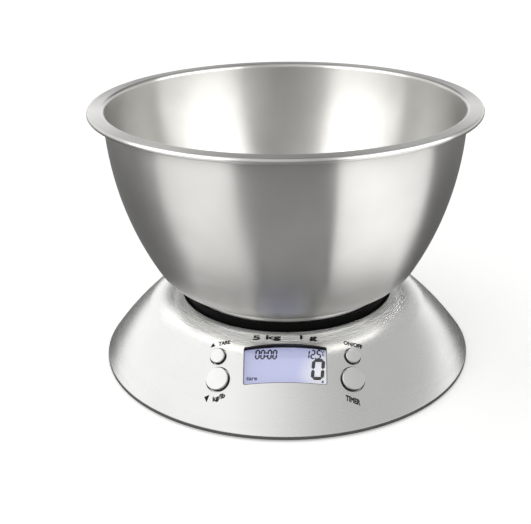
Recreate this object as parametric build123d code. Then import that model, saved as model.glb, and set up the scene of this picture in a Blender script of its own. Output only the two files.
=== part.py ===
from build123d import *
from math import acos, asin, cos, radians, sin, tan
import os

# Kitchen scale with a lift-off bowl, in millimetres, +Z up, its front towards -Y.
# The origin is the centre of the base, on the surface that the rubber feet stand on.

# Bowl: spun stainless sheet, a stepped foot, a flat flange and a rolled edge
BOWL_HEIGHT = 107.1
BOWL_RIM_RADIUS = 107.5
BOWL_FLANGE = 8.5
BOWL_FLANK_RADIUS = 176.0
BOWL_HEEL_RADIUS = 27.0
BOWL_HEEL_RISE = 3.1
BOWL_FOOT_ROUND = 1.5
BOWL_STEP_ROUND = 1.0
BOWL_NECK_DROP = 3.0
BOWL_NECK_ROUND = 1.2
BOWL_CURL_RADIUS = 1.5
BOWL_SHEET = 0.8

# Platform: a black moulded disc with a low lip round the bowl's foot
FOOT_CLEARANCE = 0.35
PLATFORM_LIP_WIDTH = 1.15
PLATFORM_LIP_HEIGHT = 0.4
PLATFORM_ROUND = 0.4
PLATFORM_RISE = 3.4
PLATE_THICKNESS = 2.4
SKIRT_THICKNESS = 2.0
SKIRT_REACH = 2.5
RIB_COUNT = 8
RIB_THICKNESS = 1.6
RIB_DEPTH = 3.0
HUB_RADIUS = 10.0
PLATFORM_TRAVEL = 0.5

# Steel cover: a dome of two tangent arcs, a turned-in hem and a collar round the opening
BASE_RADIUS = 107.6
COVER_BAND = 46.6
COVER_SHEET = 0.8
HEM_BOTTOM = 1.0
HEM_HEIGHT = 2.0
HEM_LIP = 1.8
HEM_ROUND = 1.2
RIM_SLOPE = radians(54.8)
SHOULDER_SLOPE = radians(41.7)
SHOULDER_RADIUS = 24.6
LAND_WIDTH = 4.0
COLLAR_DEPTH = 3.0
COLLAR_ROUND = 1.0
PLATFORM_GAP = 1.0

# Moulded liner under the cover
GLUE_GAP = 0.2
LINER_WALL = 2.0
LINER_FOOT = 2.0
COLLAR_GAP = 0.4

# Floor of the base
FLOOR_BOTTOM = 1.0
FLOOR_THICKNESS = 2.0
FLOOR_GAP = 0.3

# Rubber feet, on one circle with the screws of the floor
ORBIT_SETBACK = 19.6
FOOT_PAD_RADIUS = 6.0
FOOT_PAD_RECESS = 1.0
FOOT_PAD_ANGLES = (45, 135, 225, 315)
FOOT_PAD_ROUND = 0.5

# Screws that hold the floor to the liner
SCREW_RADIUS = 1.5
SCREW_LENGTH = 12.0
SCREW_GRIP = 2.0
SCREW_HEAD_RADIUS = 2.8
SCREW_HEAD_HEIGHT = 2.0
SCREW_HEAD_GAP = 0.3
HOUSING_SCREW_ANGLES = (28, 152, 208, 332)
FLOOR_BOSS_RADIUS = 4.5
FLOOR_BOSS_HEIGHT = 4.0
LINER_BOSS_RADIUS = 3.5

# Load cell: an aluminium bar along X, fixed at its left end, loaded at its right end
CELL_LENGTH = 60.0
CELL_WIDTH = 12.7
CELL_HEIGHT = 12.7
CELL_BOTTOM = 12.0
CELL_END = 19.0
CELL_BORE_RADIUS = 4.6
CELL_BORE_REACH = 5.5
CELL_SLOT = 3.0
CELL_SHIM = 1.0
CELL_MARGIN = 2.0
BOLT_RADIUS = 2.0
BOLT_HEAD_RADIUS = 3.5
BOLT_HEAD_HEIGHT = 2.6
BOLT_GRIP = 3.0
BOLT_DEPTH = 8.0
BOLT_PITCH = 9.0
STOP_MARGIN = 0.2
STOP_LENGTH = 10.0
STOP_WIDTH = 10.0
SPACER_THICKNESS = 2.0
GAUGE_LENGTH = 6.0
GAUGE_WIDTH = 4.0
GAUGE_THICKNESS = 0.2

# Display: a lens set back in the cover, the glass, the backlight and the board behind it
WINDOW_SETBACK = 24.7
WINDOW_TILT = radians(38.0)
WINDOW_WIDTH = 43.5
WINDOW_HEIGHT = 20.6
WINDOW_ARCH = 1.8
WINDOW_SILL_ARCH = 0.5
WINDOW_CORNER = 1.0
LENS_DROP = 4.9
LENS_THICKNESS = 1.2
LENS_MARGIN = 1.5
LENS_GAP = 0.15
LENS_WALL = 2.0
LEDGE_THICKNESS = 0.8
GLASS_WIDTH = 45.8
GLASS_HEIGHT = 25.0
GLASS_LIFT = 0.7
GLASS_THICKNESS = 2.2
GLASS_GAP = 0.1
FRAME_WALL = 1.1
FRAME_GAP = 0.15
BACKLIGHT_WIDTH = 42.4
BACKLIGHT_HEIGHT = 20.4
BACKLIGHT_THICKNESS = 2.5
ZEBRA_WIDTH = 1.8
ZEBRA_LENGTH = 42.0
LED_WIDTH = 1.2
LED_LENGTH = 3.0
LED_HEIGHT = 1.8
LED_GAP = 0.1
BOARD_WIDTH = 48.4
BOARD_HEIGHT = 36.6
BOARD_LIFT = 0.4
BOARD_THICKNESS = 1.6

# Small screws of the boards
TAPPER_RADIUS = 1.0
TAPPER_DEPTH = 4.8
TAPPER_HEAD_RADIUS = 1.8
TAPPER_HEAD_HEIGHT = 1.4
TAPPER_BOSS_RADIUS = 2.2
TAPPER_INSET_X = 6.0
TAPPER_INSET_Y = 2.2

# Parts on the back of the main board
CHIP_SIDE = 10.0
CHIP_HEIGHT = 1.6
CRYSTAL_RADIUS = 1.0
CRYSTAL_LENGTH = 6.0
CRYSTAL_PLACE = (-12.0, -6.0)
BUZZER_RADIUS = 4.5
BUZZER_HEIGHT = 4.5
BUZZER_PLACE = (12.0, -8.0)
SENSOR_RADIUS = 1.3
SENSOR_HEIGHT = 4.0
SENSOR_PLACE = (-17.0, -11.0)
CAN_RADIUS = 2.5
CAN_HEIGHT = 5.0
CAN_PLACE = (-7.0, -12.0)
CHIP_CAPACITOR = (2.0, 1.2, 1.0)
CHIP_CAPACITOR_PLACES = ((-8.0, 0.0), (8.0, 0.0), (0.0, -8.0), (3.5, -8.0))
CONNECTOR = (6.0, 4.0, 4.0)
CELL_CONNECTOR_PLACE = (-9.0, 11.0)
BATTERY_CONNECTOR_PLACE = (9.0, 11.0)
KEY_CONNECTOR_PLACE = (18.0, 3.0)

# Keys: on each side a small cap above a large one, on one small board
KEY_SETBACK = 20.5
KEY_ASIDE = 13.47
KEY_SPACING = 11.9
KEY_STAGGER = 3.9
SMALL_CAP_RADIUS = 4.0
LARGE_CAP_RADIUS = 6.1
CAP_GAP = 0.4
CAP_SIDE = 1.8
CAP_CROWN = 0.4
CAP_ROUND = 0.4
CAP_FLANGE = 0.8
FLANGE_THICKNESS = 1.0
FLANGE_GAP = 0.3
SEAT_SKIN = 1.2
STEM_RADIUS = 1.5
STEM_LENGTH = 1.0
KEY_TRAVEL = 0.5
PLUNGER_RADIUS = 1.65
PLUNGER_GAP = 0.1
PLUNGER_REACH = 1.0
PLUNGER_DEPTH = 1.2
SWITCH_SIDE = 6.0
SWITCH_HEIGHT = 3.5
KEY_BOARD_WIDTH = 18.0
KEY_BOARD_HEIGHT = 19.2
KEY_BOARD_SHIFT = 4.0
KEY_BOARD_DROP = 0.4
KEY_BOARD_THICKNESS = 1.2
KEY_SCREW_INSET = 3.0

# Battery bay under the back of the floor: two round cells side by side and a hinged door
BATTERY_RADIUS = 5.25
BATTERY_LENGTH = 44.5
BATTERY_NUB_RADIUS = 1.9
BATTERY_NUB = 1.0
BATTERY_PITCH = 11.0
BATTERY_LIFT = 0.5
BATTERY_SIDE_GAP = 0.4
BAY_FRONT = 41.0
BAY_WALL = 1.6
BAY_END_GAP = 2.35
LATCH_ROOM = 4.7
CONTACT_SHEET = 0.4
CONTACT_WIDTH = 7.0
CONTACT_HEIGHT = 8.0
CONTACT_GAP = 0.05
LEAF_HEIGHT = 6.0
DIMPLE_RADIUS = 2.0
TAB_WIDTH = 2.0
TAB_REACH = 1.2
BRIDGE_HEIGHT = 1.6
DOOR_GAP = 0.3
HINGE_PIN_RADIUS = 0.6
HINGE_PIN_LENGTH = 1.2
HINGE_PIN_GAP = 0.1
LATCH_WIDTH = 12.0
LATCH_HEIGHT = 5.0
LATCH_THICKNESS = 1.2
LATCH_NOSE = 0.5
GRIP_LENGTH = 3.0
GRIP_DEPTH = 0.8

# Leads
CELL_CABLE_DIAMETER = 2.2
BATTERY_LEAD_DIAMETER = 1.2
KEY_CABLE_DIAMETER = 1.8
LEAD_ROOM = 0.3
LEAD_PITCH = 2.5
SOCKET_PITCH = 2.0
LEAD_REACH = 9.0
LEAD_BERTH = 9.0
CELL_LEAD_REACH = 12.0
FLOOR_SHARES = (0.32, 0.7)
FLOOR_SHARE = 0.6
BEND_SHARE = 0.45

# Heights and radii that follow from the sizes above
OPENING_RADIUS = BASE_RADIUS - COVER_BAND
PLATFORM_RADIUS = OPENING_RADIUS - PLATFORM_GAP
BOWL_FOOT_RADIUS = PLATFORM_RADIUS - PLATFORM_LIP_WIDTH - FOOT_CLEARANCE
BOWL_WALL_RADIUS = BOWL_RIM_RADIUS - BOWL_FLANGE
ORBIT = BASE_RADIUS - ORBIT_SETBACK
WINDOW_RADIUS = BASE_RADIUS - WINDOW_SETBACK
KEY_RADIUS = BASE_RADIUS - KEY_SETBACK
KEY_AZIMUTH = asin((WINDOW_WIDTH / 2 + KEY_ASIDE) / KEY_RADIUS)
SHOULDER_X = OPENING_RADIUS + LAND_WIDTH
HEM_TOP = HEM_BOTTOM + HEM_HEIGHT
SHOULDER_SPAN = SHOULDER_X + SHOULDER_RADIUS * sin(SHOULDER_SLOPE)
FLANK_RADIUS = (BASE_RADIUS - SHOULDER_SPAN) / (sin(RIM_SLOPE) - sin(SHOULDER_SLOPE))
FLANK_CENTRE = (
    BASE_RADIUS - FLANK_RADIUS * sin(RIM_SLOPE),
    HEM_TOP - FLANK_RADIUS * cos(RIM_SLOPE),
)
SHOULDER_CENTRE = (
    SHOULDER_X,
    FLANK_CENTRE[1] + (FLANK_RADIUS - SHOULDER_RADIUS) * cos(SHOULDER_SLOPE),
)
COVER_TOP = SHOULDER_CENTRE[1] + SHOULDER_RADIUS
LINER_INSET = COVER_SHEET + GLUE_GAP
LINER_OPENING = OPENING_RADIUS + COVER_SHEET + COLLAR_GAP
FLOOR_INSET = LINER_INSET + LINER_WALL + FLOOR_GAP
FLOOR_TOP = FLOOR_BOTTOM + FLOOR_THICKNESS
FLOOR_BOSS_TOP = FLOOR_TOP + FLOOR_BOSS_HEIGHT
SCREW_SEAT = FLOOR_BOSS_TOP - SCREW_GRIP
SEAT = COVER_TOP + PLATFORM_RISE
BOWL_TOP = SEAT + BOWL_HEIGHT
PLATE_BOTTOM = SEAT - PLATE_THICKNESS
SKIRT_BOTTOM = COVER_TOP - SKIRT_REACH
CELL_TOP = CELL_BOTTOM + CELL_HEIGHT
BOLT_SEAT = CELL_BOTTOM - CELL_SHIM - BOLT_GRIP
SPACER_TOP = CELL_TOP + SPACER_THICKNESS
CELL_MIDDLE = CELL_LENGTH / 2 - CELL_END / 2
BOLT_SHIFTS = (-BOLT_PITCH / 2, BOLT_PITCH / 2)

# Depths below the window's plane
LENS_BOTTOM = -LENS_DROP - LENS_THICKNESS
GLASS_TOP = LENS_BOTTOM - LEDGE_THICKNESS - GLASS_GAP
GLASS_BOTTOM = GLASS_TOP - GLASS_THICKNESS
BOARD_TOP = GLASS_BOTTOM - BACKLIGHT_THICKNESS
BOARD_BOTTOM = BOARD_TOP - BOARD_THICKNESS

# Depths below the keys' plane
KEY_SEAT = -LINER_INSET - SEAT_SKIN
FLANGE_TOP = KEY_SEAT - FLANGE_GAP
FLANGE_BOTTOM = FLANGE_TOP - FLANGE_THICKNESS
STEM_BOTTOM = FLANGE_BOTTOM - STEM_LENGTH
SWITCH_TOP = STEM_BOTTOM - PLUNGER_REACH
KEY_BOARD_TOP = SWITCH_TOP - SWITCH_HEIGHT
KEY_BOARD_BOTTOM = KEY_BOARD_TOP - KEY_BOARD_THICKNESS

# Battery bay
BAY_END = BATTERY_LENGTH / 2 + BAY_END_GAP
BATTERY_Y = tuple(
    BAY_FRONT + BATTERY_SIDE_GAP + BATTERY_RADIUS + BATTERY_PITCH * place for place in (0, 1)
)
BAY_REAR = BATTERY_Y[1] + BATTERY_RADIUS + LATCH_ROOM
BATTERY_Z = FLOOR_TOP + BATTERY_LIFT + BATTERY_RADIUS
BAY_ROOF = BATTERY_Z + BATTERY_RADIUS + BATTERY_SIDE_GAP
HINGE_RADIUS = FLOOR_THICKNESS / 2
HINGE_Y = BAY_FRONT + DOOR_GAP + HINGE_RADIUS
HINGE_Z = FLOOR_BOTTOM + HINGE_RADIUS

# How far a cut runs past the faces that it opens
PAST = 10.0

KEYS = {
    "tare": (-1, 1, SMALL_CAP_RADIUS),
    "unit": (-1, -1, LARGE_CAP_RADIUS),
    "power": (1, 1, SMALL_CAP_RADIUS),
    "timer": (1, -1, LARGE_CAP_RADIUS),
}


def band(inner, outer, low, high):
    """Rectangle of a half section, between two radii and two heights."""
    return Pos((inner + outer) / 2, (low + high) / 2) * Rectangle(outer - inner, high - low)


def turned(section):
    """Solid of revolution about the Z axis from a half section drawn as (radius, height)."""
    return revolve(Plane.XZ * section, Axis.Z)


def rod(radius, low, high):
    """Upright cylinder between two heights."""
    return Pos(0, 0, low) * Cylinder(radius, high - low, align=(Align.CENTER, Align.CENTER, Align.MIN))


def block(x_span, y_span, z_span):
    """Box between two values on each axis."""
    spans = (x_span, y_span, z_span)
    middle = [(low + high) / 2 for low, high in spans]
    return Pos(*middle) * Box(*(high - low for low, high in spans))


def corner(section, radius, height):
    """Corner of a half section that is nearest to a point."""
    return section.vertices().sort_by_distance((radius, height, 0))[0]


def on_arc(centre, radius, slope):
    """Point of an arc where it falls away from level at this slope."""
    return (centre[0] + radius * sin(slope), centre[1] + radius * cos(slope))


def sloped_arc(centre, radius, start, end):
    """Arc between two slopes."""
    return ThreePointArc(
        on_arc(centre, radius, start),
        on_arc(centre, radius, (start + end) / 2),
        on_arc(centre, radius, end),
    )


def dome_section(inset, foot):
    """Filled half section of the dome, inset from the cover's outer face, cut level at its foot."""
    rim = BASE_RADIUS - inset
    flank = FLANK_RADIUS - inset
    shoulder = SHOULDER_RADIUS - inset
    rim_slope = asin((rim - FLANK_CENTRE[0]) / flank)
    crown = on_arc(SHOULDER_CENTRE, shoulder, 0)
    outline = Curve() + [
        Line((0, foot), (rim, foot)),
        Line((rim, foot), on_arc(FLANK_CENTRE, flank, rim_slope)),
        sloped_arc(FLANK_CENTRE, flank, rim_slope, SHOULDER_SLOPE),
        sloped_arc(SHOULDER_CENTRE, shoulder, SHOULDER_SLOPE, 0),
        Line(crown, (0, crown[1])),
        Line((0, crown[1]), (0, foot)),
    ]
    return make_face(outline.edges())


def flank_slope(radius):
    """Slope of the cover's flank at this radius."""
    return asin((radius - FLANK_CENTRE[0]) / FLANK_RADIUS)


def flank_height(radius):
    """Height of the cover's flank at this radius."""
    return on_arc(FLANK_CENTRE, FLANK_RADIUS, flank_slope(radius))[1]


def around(angle, radius):
    """Place at an angle round the vertical axis, counted from +X, at a radius."""
    return Pos(radius * cos(radians(angle)), radius * sin(radians(angle)), 0)


def window_place():
    """Frame of the window: origin on the cover, X to the right, Y up the slope, Z outwards."""
    origin = (0, -WINDOW_RADIUS, flank_height(WINDOW_RADIUS))
    outwards = (0, -sin(WINDOW_TILT), cos(WINDOW_TILT))
    return Plane(origin=origin, x_dir=(1, 0, 0), z_dir=outwards).location


def keys_place(side):
    """Frame of one side's keys: origin on the cover, Y up the slope, Z outwards."""
    azimuth = side * KEY_AZIMUTH
    slope = flank_slope(KEY_RADIUS)
    origin = (KEY_RADIUS * sin(azimuth), -KEY_RADIUS * cos(azimuth), flank_height(KEY_RADIUS))
    outwards = (sin(slope) * sin(azimuth), -sin(slope) * cos(azimuth), cos(slope))
    return Plane(origin=origin, x_dir=(cos(azimuth), sin(azimuth), 0), z_dir=outwards).location


def key_place(name):
    """Frame of one key, on its side's plane."""
    side, level, _ = KEYS[name]
    return keys_place(side) * Pos(side * level * KEY_STAGGER / 2, level * KEY_SPACING / 2, 0)


def window_outline(margin):
    """Outline of the window with an arched head and sill, grown by a margin."""
    half = WINDOW_WIDTH / 2 + margin
    head = WINDOW_HEIGHT / 2 + margin
    outline = Curve() + [
        ThreePointArc((-half, -head), (0, WINDOW_SILL_ARCH - head), (half, -head)),
        Line((half, -head), (half, head)),
        ThreePointArc((half, head), (0, head + WINDOW_ARCH), (-half, head)),
        Line((-half, head), (-half, -head)),
    ]
    face = make_face(outline.edges())
    return fillet(face.vertices(), WINDOW_CORNER)


def window_slab(margin, low, high):
    """Slab with the window's outline between two depths, in the window's frame."""
    return Pos(0, 0, low) * extrude(window_outline(margin), high - low)


def board_screw_places():
    """Places of the main board's screws, in the window's frame."""
    across = BOARD_WIDTH / 2 - TAPPER_INSET_X
    along = BOARD_HEIGHT / 2 - TAPPER_INSET_Y
    return [Pos(x, BOARD_LIFT + y, 0) for x in (-across, across) for y in (-along, along)]


def key_board_middle(side):
    """Middle of a key board, in its side's frame."""
    return (side * KEY_BOARD_SHIFT, -KEY_BOARD_DROP)


def key_screw_places(side):
    """Places of a key board's two screws, along its outer edge, in its side's frame."""
    x, y = key_board_middle(side)
    across = side * (KEY_BOARD_WIDTH / 2 - KEY_SCREW_INSET)
    along = KEY_BOARD_HEIGHT / 2 - KEY_SCREW_INSET
    return [Pos(x + across, y + shift, 0) for shift in (-along, along)]


def screw(radius, length, head_radius, head_height):
    """Screw along +Z whose head lies under the level plane."""
    return rod(radius, 0, length) + rod(head_radius, -head_height, 0)


def bowl_section(inset):
    """Filled half section of the bowl, inset from its outer face."""
    neck = BOWL_TOP - BOWL_NECK_DROP
    flank = BOWL_FLANK_RADIUS - inset
    heel = BOWL_HEEL_RADIUS - inset
    foot = BOWL_FOOT_RADIUS - inset
    flank_x = BOWL_WALL_RADIUS - BOWL_FLANK_RADIUS
    heel_z = SEAT + BOWL_HEEL_RISE + BOWL_HEEL_RADIUS
    reach = BOWL_FLANK_RADIUS - BOWL_HEEL_RADIUS
    turn = acos((neck - heel_z) / reach)
    heel_x = flank_x + reach * sin(turn)
    seam = asin((foot - heel_x) / heel)

    def below(centre_x, centre_z, radius, angle):
        return (centre_x + radius * sin(angle), centre_z - radius * cos(angle))

    seam_point = below(heel_x, heel_z, heel, seam)
    outline = Curve() + [
        Line((0, SEAT + inset), (foot, SEAT + inset)),
        Line((foot, SEAT + inset), seam_point),
        ThreePointArc(
            seam_point,
            below(heel_x, heel_z, heel, (seam + turn) / 2),
            below(heel_x, heel_z, heel, turn),
        ),
        ThreePointArc(
            below(flank_x, neck, flank, turn),
            below(flank_x, neck, flank, (turn + radians(90)) / 2),
            (flank_x + flank, neck),
        ),
        Line((flank_x + flank, neck), (flank_x + flank, BOWL_TOP)),
        Line((flank_x + flank, BOWL_TOP), (0, BOWL_TOP)),
        Line((0, BOWL_TOP), (0, SEAT + inset)),
    ]
    return make_face(outline.edges()), seam_point


def bowl():
    """Spun bowl of one sheet, with its flange rolled under at the edge."""
    outer, outer_seam = bowl_section(0)
    inner, inner_seam = bowl_section(BOWL_SHEET)
    curl_x = BOWL_RIM_RADIUS - BOWL_CURL_RADIUS
    curl_z = BOWL_TOP - BOWL_CURL_RADIUS
    curl = Pos(curl_x, curl_z) * (Circle(BOWL_CURL_RADIUS) - Circle(BOWL_CURL_RADIUS - BOWL_SHEET))
    curl -= band(curl_x - BOWL_CURL_RADIUS, curl_x, curl_z, BOWL_TOP)
    flange = band(BOWL_WALL_RADIUS - BOWL_SHEET, curl_x, BOWL_TOP - BOWL_SHEET, BOWL_TOP)
    section = outer + flange + curl - inner
    rounds = (
        (BOWL_WALL_RADIUS - BOWL_SHEET, BOWL_TOP, BOWL_NECK_ROUND + BOWL_SHEET),
        (BOWL_WALL_RADIUS, BOWL_TOP - BOWL_SHEET, BOWL_NECK_ROUND),
        (BOWL_FOOT_RADIUS, SEAT, BOWL_FOOT_ROUND),
        (BOWL_FOOT_RADIUS - BOWL_SHEET, SEAT + BOWL_SHEET, BOWL_FOOT_ROUND - BOWL_SHEET),
        (*outer_seam, BOWL_STEP_ROUND),
        (*inner_seam, BOWL_STEP_ROUND + BOWL_SHEET),
    )
    for radius, height, size in rounds:
        section = fillet(corner(section, radius, height), size)
    return turned(section)


def bolt_places(middle):
    """Places of the two bolts through one end of the load cell."""
    return [Pos(middle + shift, 0, 0) for shift in BOLT_SHIFTS]


def platform():
    """Disc under the bowl, with a lip, a skirt, ribs and a block over the loaded end of the cell."""
    skirt_inner = PLATFORM_RADIUS - SKIRT_THICKNESS
    lip_inner = PLATFORM_RADIUS - PLATFORM_LIP_WIDTH
    section = band(0, PLATFORM_RADIUS, PLATE_BOTTOM, SEAT)
    section += band(lip_inner, PLATFORM_RADIUS, SEAT, SEAT + PLATFORM_LIP_HEIGHT)
    section += band(skirt_inner, PLATFORM_RADIUS, SKIRT_BOTTOM, PLATE_BOTTOM)
    section = fillet(corner(section, PLATFORM_RADIUS, SEAT + PLATFORM_LIP_HEIGHT), PLATFORM_ROUND)
    body = turned(section)
    rib = block(
        (HUB_RADIUS / 2, skirt_inner + SKIRT_THICKNESS / 2),
        (-RIB_THICKNESS / 2, RIB_THICKNESS / 2),
        (PLATE_BOTTOM - RIB_DEPTH, PLATE_BOTTOM),
    )
    body += rod(HUB_RADIUS, PLATE_BOTTOM - RIB_DEPTH, PLATE_BOTTOM)
    body += [Rot(0, 0, 360 / RIB_COUNT * place) * rib for place in range(RIB_COUNT)]
    body += block(
        (CELL_MIDDLE - CELL_END / 2, CELL_MIDDLE + CELL_END / 2),
        (-CELL_WIDTH / 2 - CELL_MARGIN, CELL_WIDTH / 2 + CELL_MARGIN),
        (SPACER_TOP, PLATE_BOTTOM),
    )
    for place in bolt_places(CELL_MIDDLE):
        body -= place * rod(BOLT_RADIUS, SPACER_TOP - PAST, SPACER_TOP + PAST)
        body -= place * rod(BOLT_HEAD_RADIUS + SCREW_HEAD_GAP, SPACER_TOP + BOLT_GRIP, SEAT + PAST)
    return body


def platform_screws():
    """Two bolts, head up, through the platform's block into the cell."""
    bolt = Rot(180, 0, 0) * screw(
        BOLT_RADIUS, BOLT_GRIP + SPACER_THICKNESS + BOLT_DEPTH, BOLT_HEAD_RADIUS, BOLT_HEAD_HEIGHT
    )
    height = SPACER_TOP + BOLT_GRIP
    return Compound(children=[place * Pos(0, 0, height) * bolt for place in bolt_places(CELL_MIDDLE)])


def end_plate(middle, low, high):
    """Plate over one end of the load cell, with its bolt holes."""
    plate = block(
        (middle - CELL_END / 2, middle + CELL_END / 2), (-CELL_WIDTH / 2, CELL_WIDTH / 2), (low, high)
    )
    for place in bolt_places(middle):
        plate -= place * rod(BOLT_RADIUS, low - PAST, high + PAST)
    return plate


def load_cell():
    """Bar with two joined cross bores, which make it bend, and two bolt holes at each end."""
    bar = block(
        (-CELL_LENGTH / 2, CELL_LENGTH / 2), (-CELL_WIDTH / 2, CELL_WIDTH / 2), (CELL_BOTTOM, CELL_TOP)
    )
    level = (CELL_BOTTOM + CELL_TOP) / 2
    for x in (-CELL_BORE_REACH, CELL_BORE_REACH):
        bar -= Pos(x, 0, level) * Rot(90, 0, 0) * Cylinder(CELL_BORE_RADIUS, CELL_WIDTH + PAST)
    bar -= Pos(0, 0, level) * Box(2 * CELL_BORE_REACH, CELL_WIDTH + PAST, CELL_SLOT)
    for place in bolt_places(-CELL_MIDDLE):
        bar -= place * rod(BOLT_RADIUS, CELL_BOTTOM - PAST, CELL_BOTTOM + BOLT_DEPTH)
    for place in bolt_places(CELL_MIDDLE):
        bar -= place * rod(BOLT_RADIUS, CELL_TOP - BOLT_DEPTH, CELL_TOP + PAST)
    return bar


def strain_gauges():
    """Four foil gauges over the thin places of the cell, two on top and two below."""
    gauges = []
    for x in (-CELL_BORE_REACH, CELL_BORE_REACH):
        for low in (CELL_BOTTOM - GAUGE_THICKNESS, CELL_TOP):
            middle = low + GAUGE_THICKNESS / 2
            gauges.append(Pos(x, 0, middle) * Box(GAUGE_LENGTH, GAUGE_WIDTH, GAUGE_THICKNESS))
    return Compound(children=gauges)


def load_cell_screws():
    """Two bolts from below, through the pedestal into the fixed end of the cell."""
    bolt = screw(BOLT_RADIUS, CELL_BOTTOM + BOLT_DEPTH - BOLT_SEAT, BOLT_HEAD_RADIUS, BOLT_HEAD_HEIGHT)
    return Compound(children=[place * Pos(0, 0, BOLT_SEAT) * bolt for place in bolt_places(-CELL_MIDDLE)])


def top_cover():
    """Pressed steel dome with the openings for the platform, the window and the keys."""
    lip_inner = BASE_RADIUS - COVER_SHEET - HEM_LIP
    lip_top = HEM_BOTTOM + COVER_SHEET
    section = dome_section(0, HEM_BOTTOM) - dome_section(COVER_SHEET, lip_top)
    section -= band(0, lip_inner, HEM_BOTTOM, lip_top)
    section -= band(0, OPENING_RADIUS, COVER_TOP - COVER_SHEET, COVER_TOP)
    section += band(OPENING_RADIUS, OPENING_RADIUS + COVER_SHEET, COVER_TOP - COLLAR_DEPTH, COVER_TOP)
    section = fillet(corner(section, BASE_RADIUS, HEM_TOP), HEM_ROUND)
    section = fillet(corner(section, OPENING_RADIUS, COVER_TOP), COLLAR_ROUND)
    cover = turned(section)
    cover -= window_place() * window_slab(0, -LENS_DROP, PAST)
    for name, (_, _, radius) in KEYS.items():
        cover -= key_place(name) * rod(radius + CAP_GAP, KEY_SEAT, PAST)
    return cover


def upper_housing():
    """Moulded liner: it backs the cover and carries the window, the boards and the keys."""
    core = turned(dome_section(LINER_INSET, LINER_FOOT))
    hollow = turned(dome_section(LINER_INSET + LINER_WALL, LINER_FOOT))
    liner = core - hollow - rod(LINER_OPENING, COVER_TOP - PAST, COVER_TOP)
    window = window_place()
    added = [window * window_slab(LENS_MARGIN + LENS_WALL, BOARD_TOP, PAST)]
    added += [window * place * rod(TAPPER_BOSS_RADIUS, BOARD_TOP, PAST) for place in board_screw_places()]
    for side in (-1, 1):
        boss = rod(TAPPER_BOSS_RADIUS, KEY_BOARD_TOP, PAST)
        added += [keys_place(side) * place * boss for place in key_screw_places(side)]
    boss = rod(LINER_BOSS_RADIUS, FLOOR_BOSS_TOP, COVER_TOP)
    added += [around(angle, ORBIT) * boss for angle in HOUSING_SCREW_ANGLES]
    for piece in added:
        liner += piece & core
    liner -= window * window_slab(LENS_MARGIN + LENS_GAP, LENS_BOTTOM, PAST)
    liner -= window * window_slab(0, LENS_BOTTOM - PAST, PAST)
    cavity = Pos(0, GLASS_LIFT) * Rectangle(
        GLASS_WIDTH + 2 * (2 * FRAME_GAP + FRAME_WALL), GLASS_HEIGHT + 2 * (2 * FRAME_GAP + FRAME_WALL)
    )
    liner -= window * Pos(0, 0, BOARD_TOP) * extrude(cavity, GLASS_TOP + GLASS_GAP - BOARD_TOP)
    for name, (_, _, radius) in KEYS.items():
        liner -= key_place(name) * rod(radius + CAP_GAP, KEY_SEAT - PAST, PAST)
        liner -= key_place(name) * rod(radius + CAP_FLANGE + CAP_GAP, KEY_BOARD_TOP, KEY_SEAT)
    tapper = rod(TAPPER_RADIUS, 0, TAPPER_DEPTH)
    for place in board_screw_places():
        liner -= window * place * Pos(0, 0, BOARD_TOP) * tapper
    for side in (-1, 1):
        for place in key_screw_places(side):
            liner -= keys_place(side) * place * Pos(0, 0, KEY_BOARD_TOP) * tapper
    for angle in HOUSING_SCREW_ANGLES:
        pilot = rod(SCREW_RADIUS, SCREW_SEAT, SCREW_SEAT + SCREW_LENGTH)
        liner -= around(angle, ORBIT) * pilot
    return liner


def lcd_window():
    """Clear lens on the liner's ledge."""
    return window_place() * window_slab(LENS_MARGIN, LENS_BOTTOM, -LENS_DROP)


def glass_slab(width, height, low, high):
    """Rectangular slab centred on the display, in the window's frame."""
    return Pos(0, GLASS_LIFT, (low + high) / 2) * Box(width, height, high - low)


def lcd_glass():
    """Display glass under the ledge."""
    return window_place() * glass_slab(GLASS_WIDTH, GLASS_HEIGHT, GLASS_BOTTOM, GLASS_TOP)


def lcd_frame():
    """Moulded frame round the glass and the backlight, standing on the board."""
    inner = (GLASS_WIDTH + 2 * FRAME_GAP, GLASS_HEIGHT + 2 * FRAME_GAP)
    outer = (inner[0] + 2 * FRAME_WALL, inner[1] + 2 * FRAME_WALL)
    ring = glass_slab(*outer, BOARD_TOP, GLASS_TOP) - glass_slab(*inner, BOARD_TOP - PAST, PAST)
    return window_place() * ring


def lcd_backlight():
    """Light guide between the glass and the board."""
    return window_place() * glass_slab(BACKLIGHT_WIDTH, BACKLIGHT_HEIGHT, BOARD_TOP, GLASS_BOTTOM)


def backlight_led():
    """Lamp on the board at the right edge of the light guide."""
    x = BACKLIGHT_WIDTH / 2 + LED_GAP + LED_WIDTH / 2
    place = window_place() * Pos(x, GLASS_LIFT, BOARD_TOP + LED_HEIGHT / 2)
    return place * Box(LED_WIDTH, LED_LENGTH, LED_HEIGHT)


def zebra_strips():
    """Two soft strips that carry the contacts from the board to the glass."""
    reach = GLASS_HEIGHT / 2 - ZEBRA_WIDTH / 2
    strip = Pos(0, 0, (BOARD_TOP + GLASS_BOTTOM) / 2) * Box(ZEBRA_LENGTH, ZEBRA_WIDTH, BACKLIGHT_THICKNESS)
    place = window_place()
    return Compound(children=[place * Pos(0, GLASS_LIFT + y, 0) * strip for y in (-reach, reach)])


def main_board():
    """Circuit board behind the display, parallel to it."""
    board = Box(BOARD_WIDTH, BOARD_HEIGHT, BOARD_THICKNESS)
    board = Pos(0, BOARD_LIFT, (BOARD_TOP + BOARD_BOTTOM) / 2) * board
    for place in board_screw_places():
        board -= place * rod(TAPPER_RADIUS, BOARD_BOTTOM - PAST, BOARD_TOP + PAST)
    return window_place() * board


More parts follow.
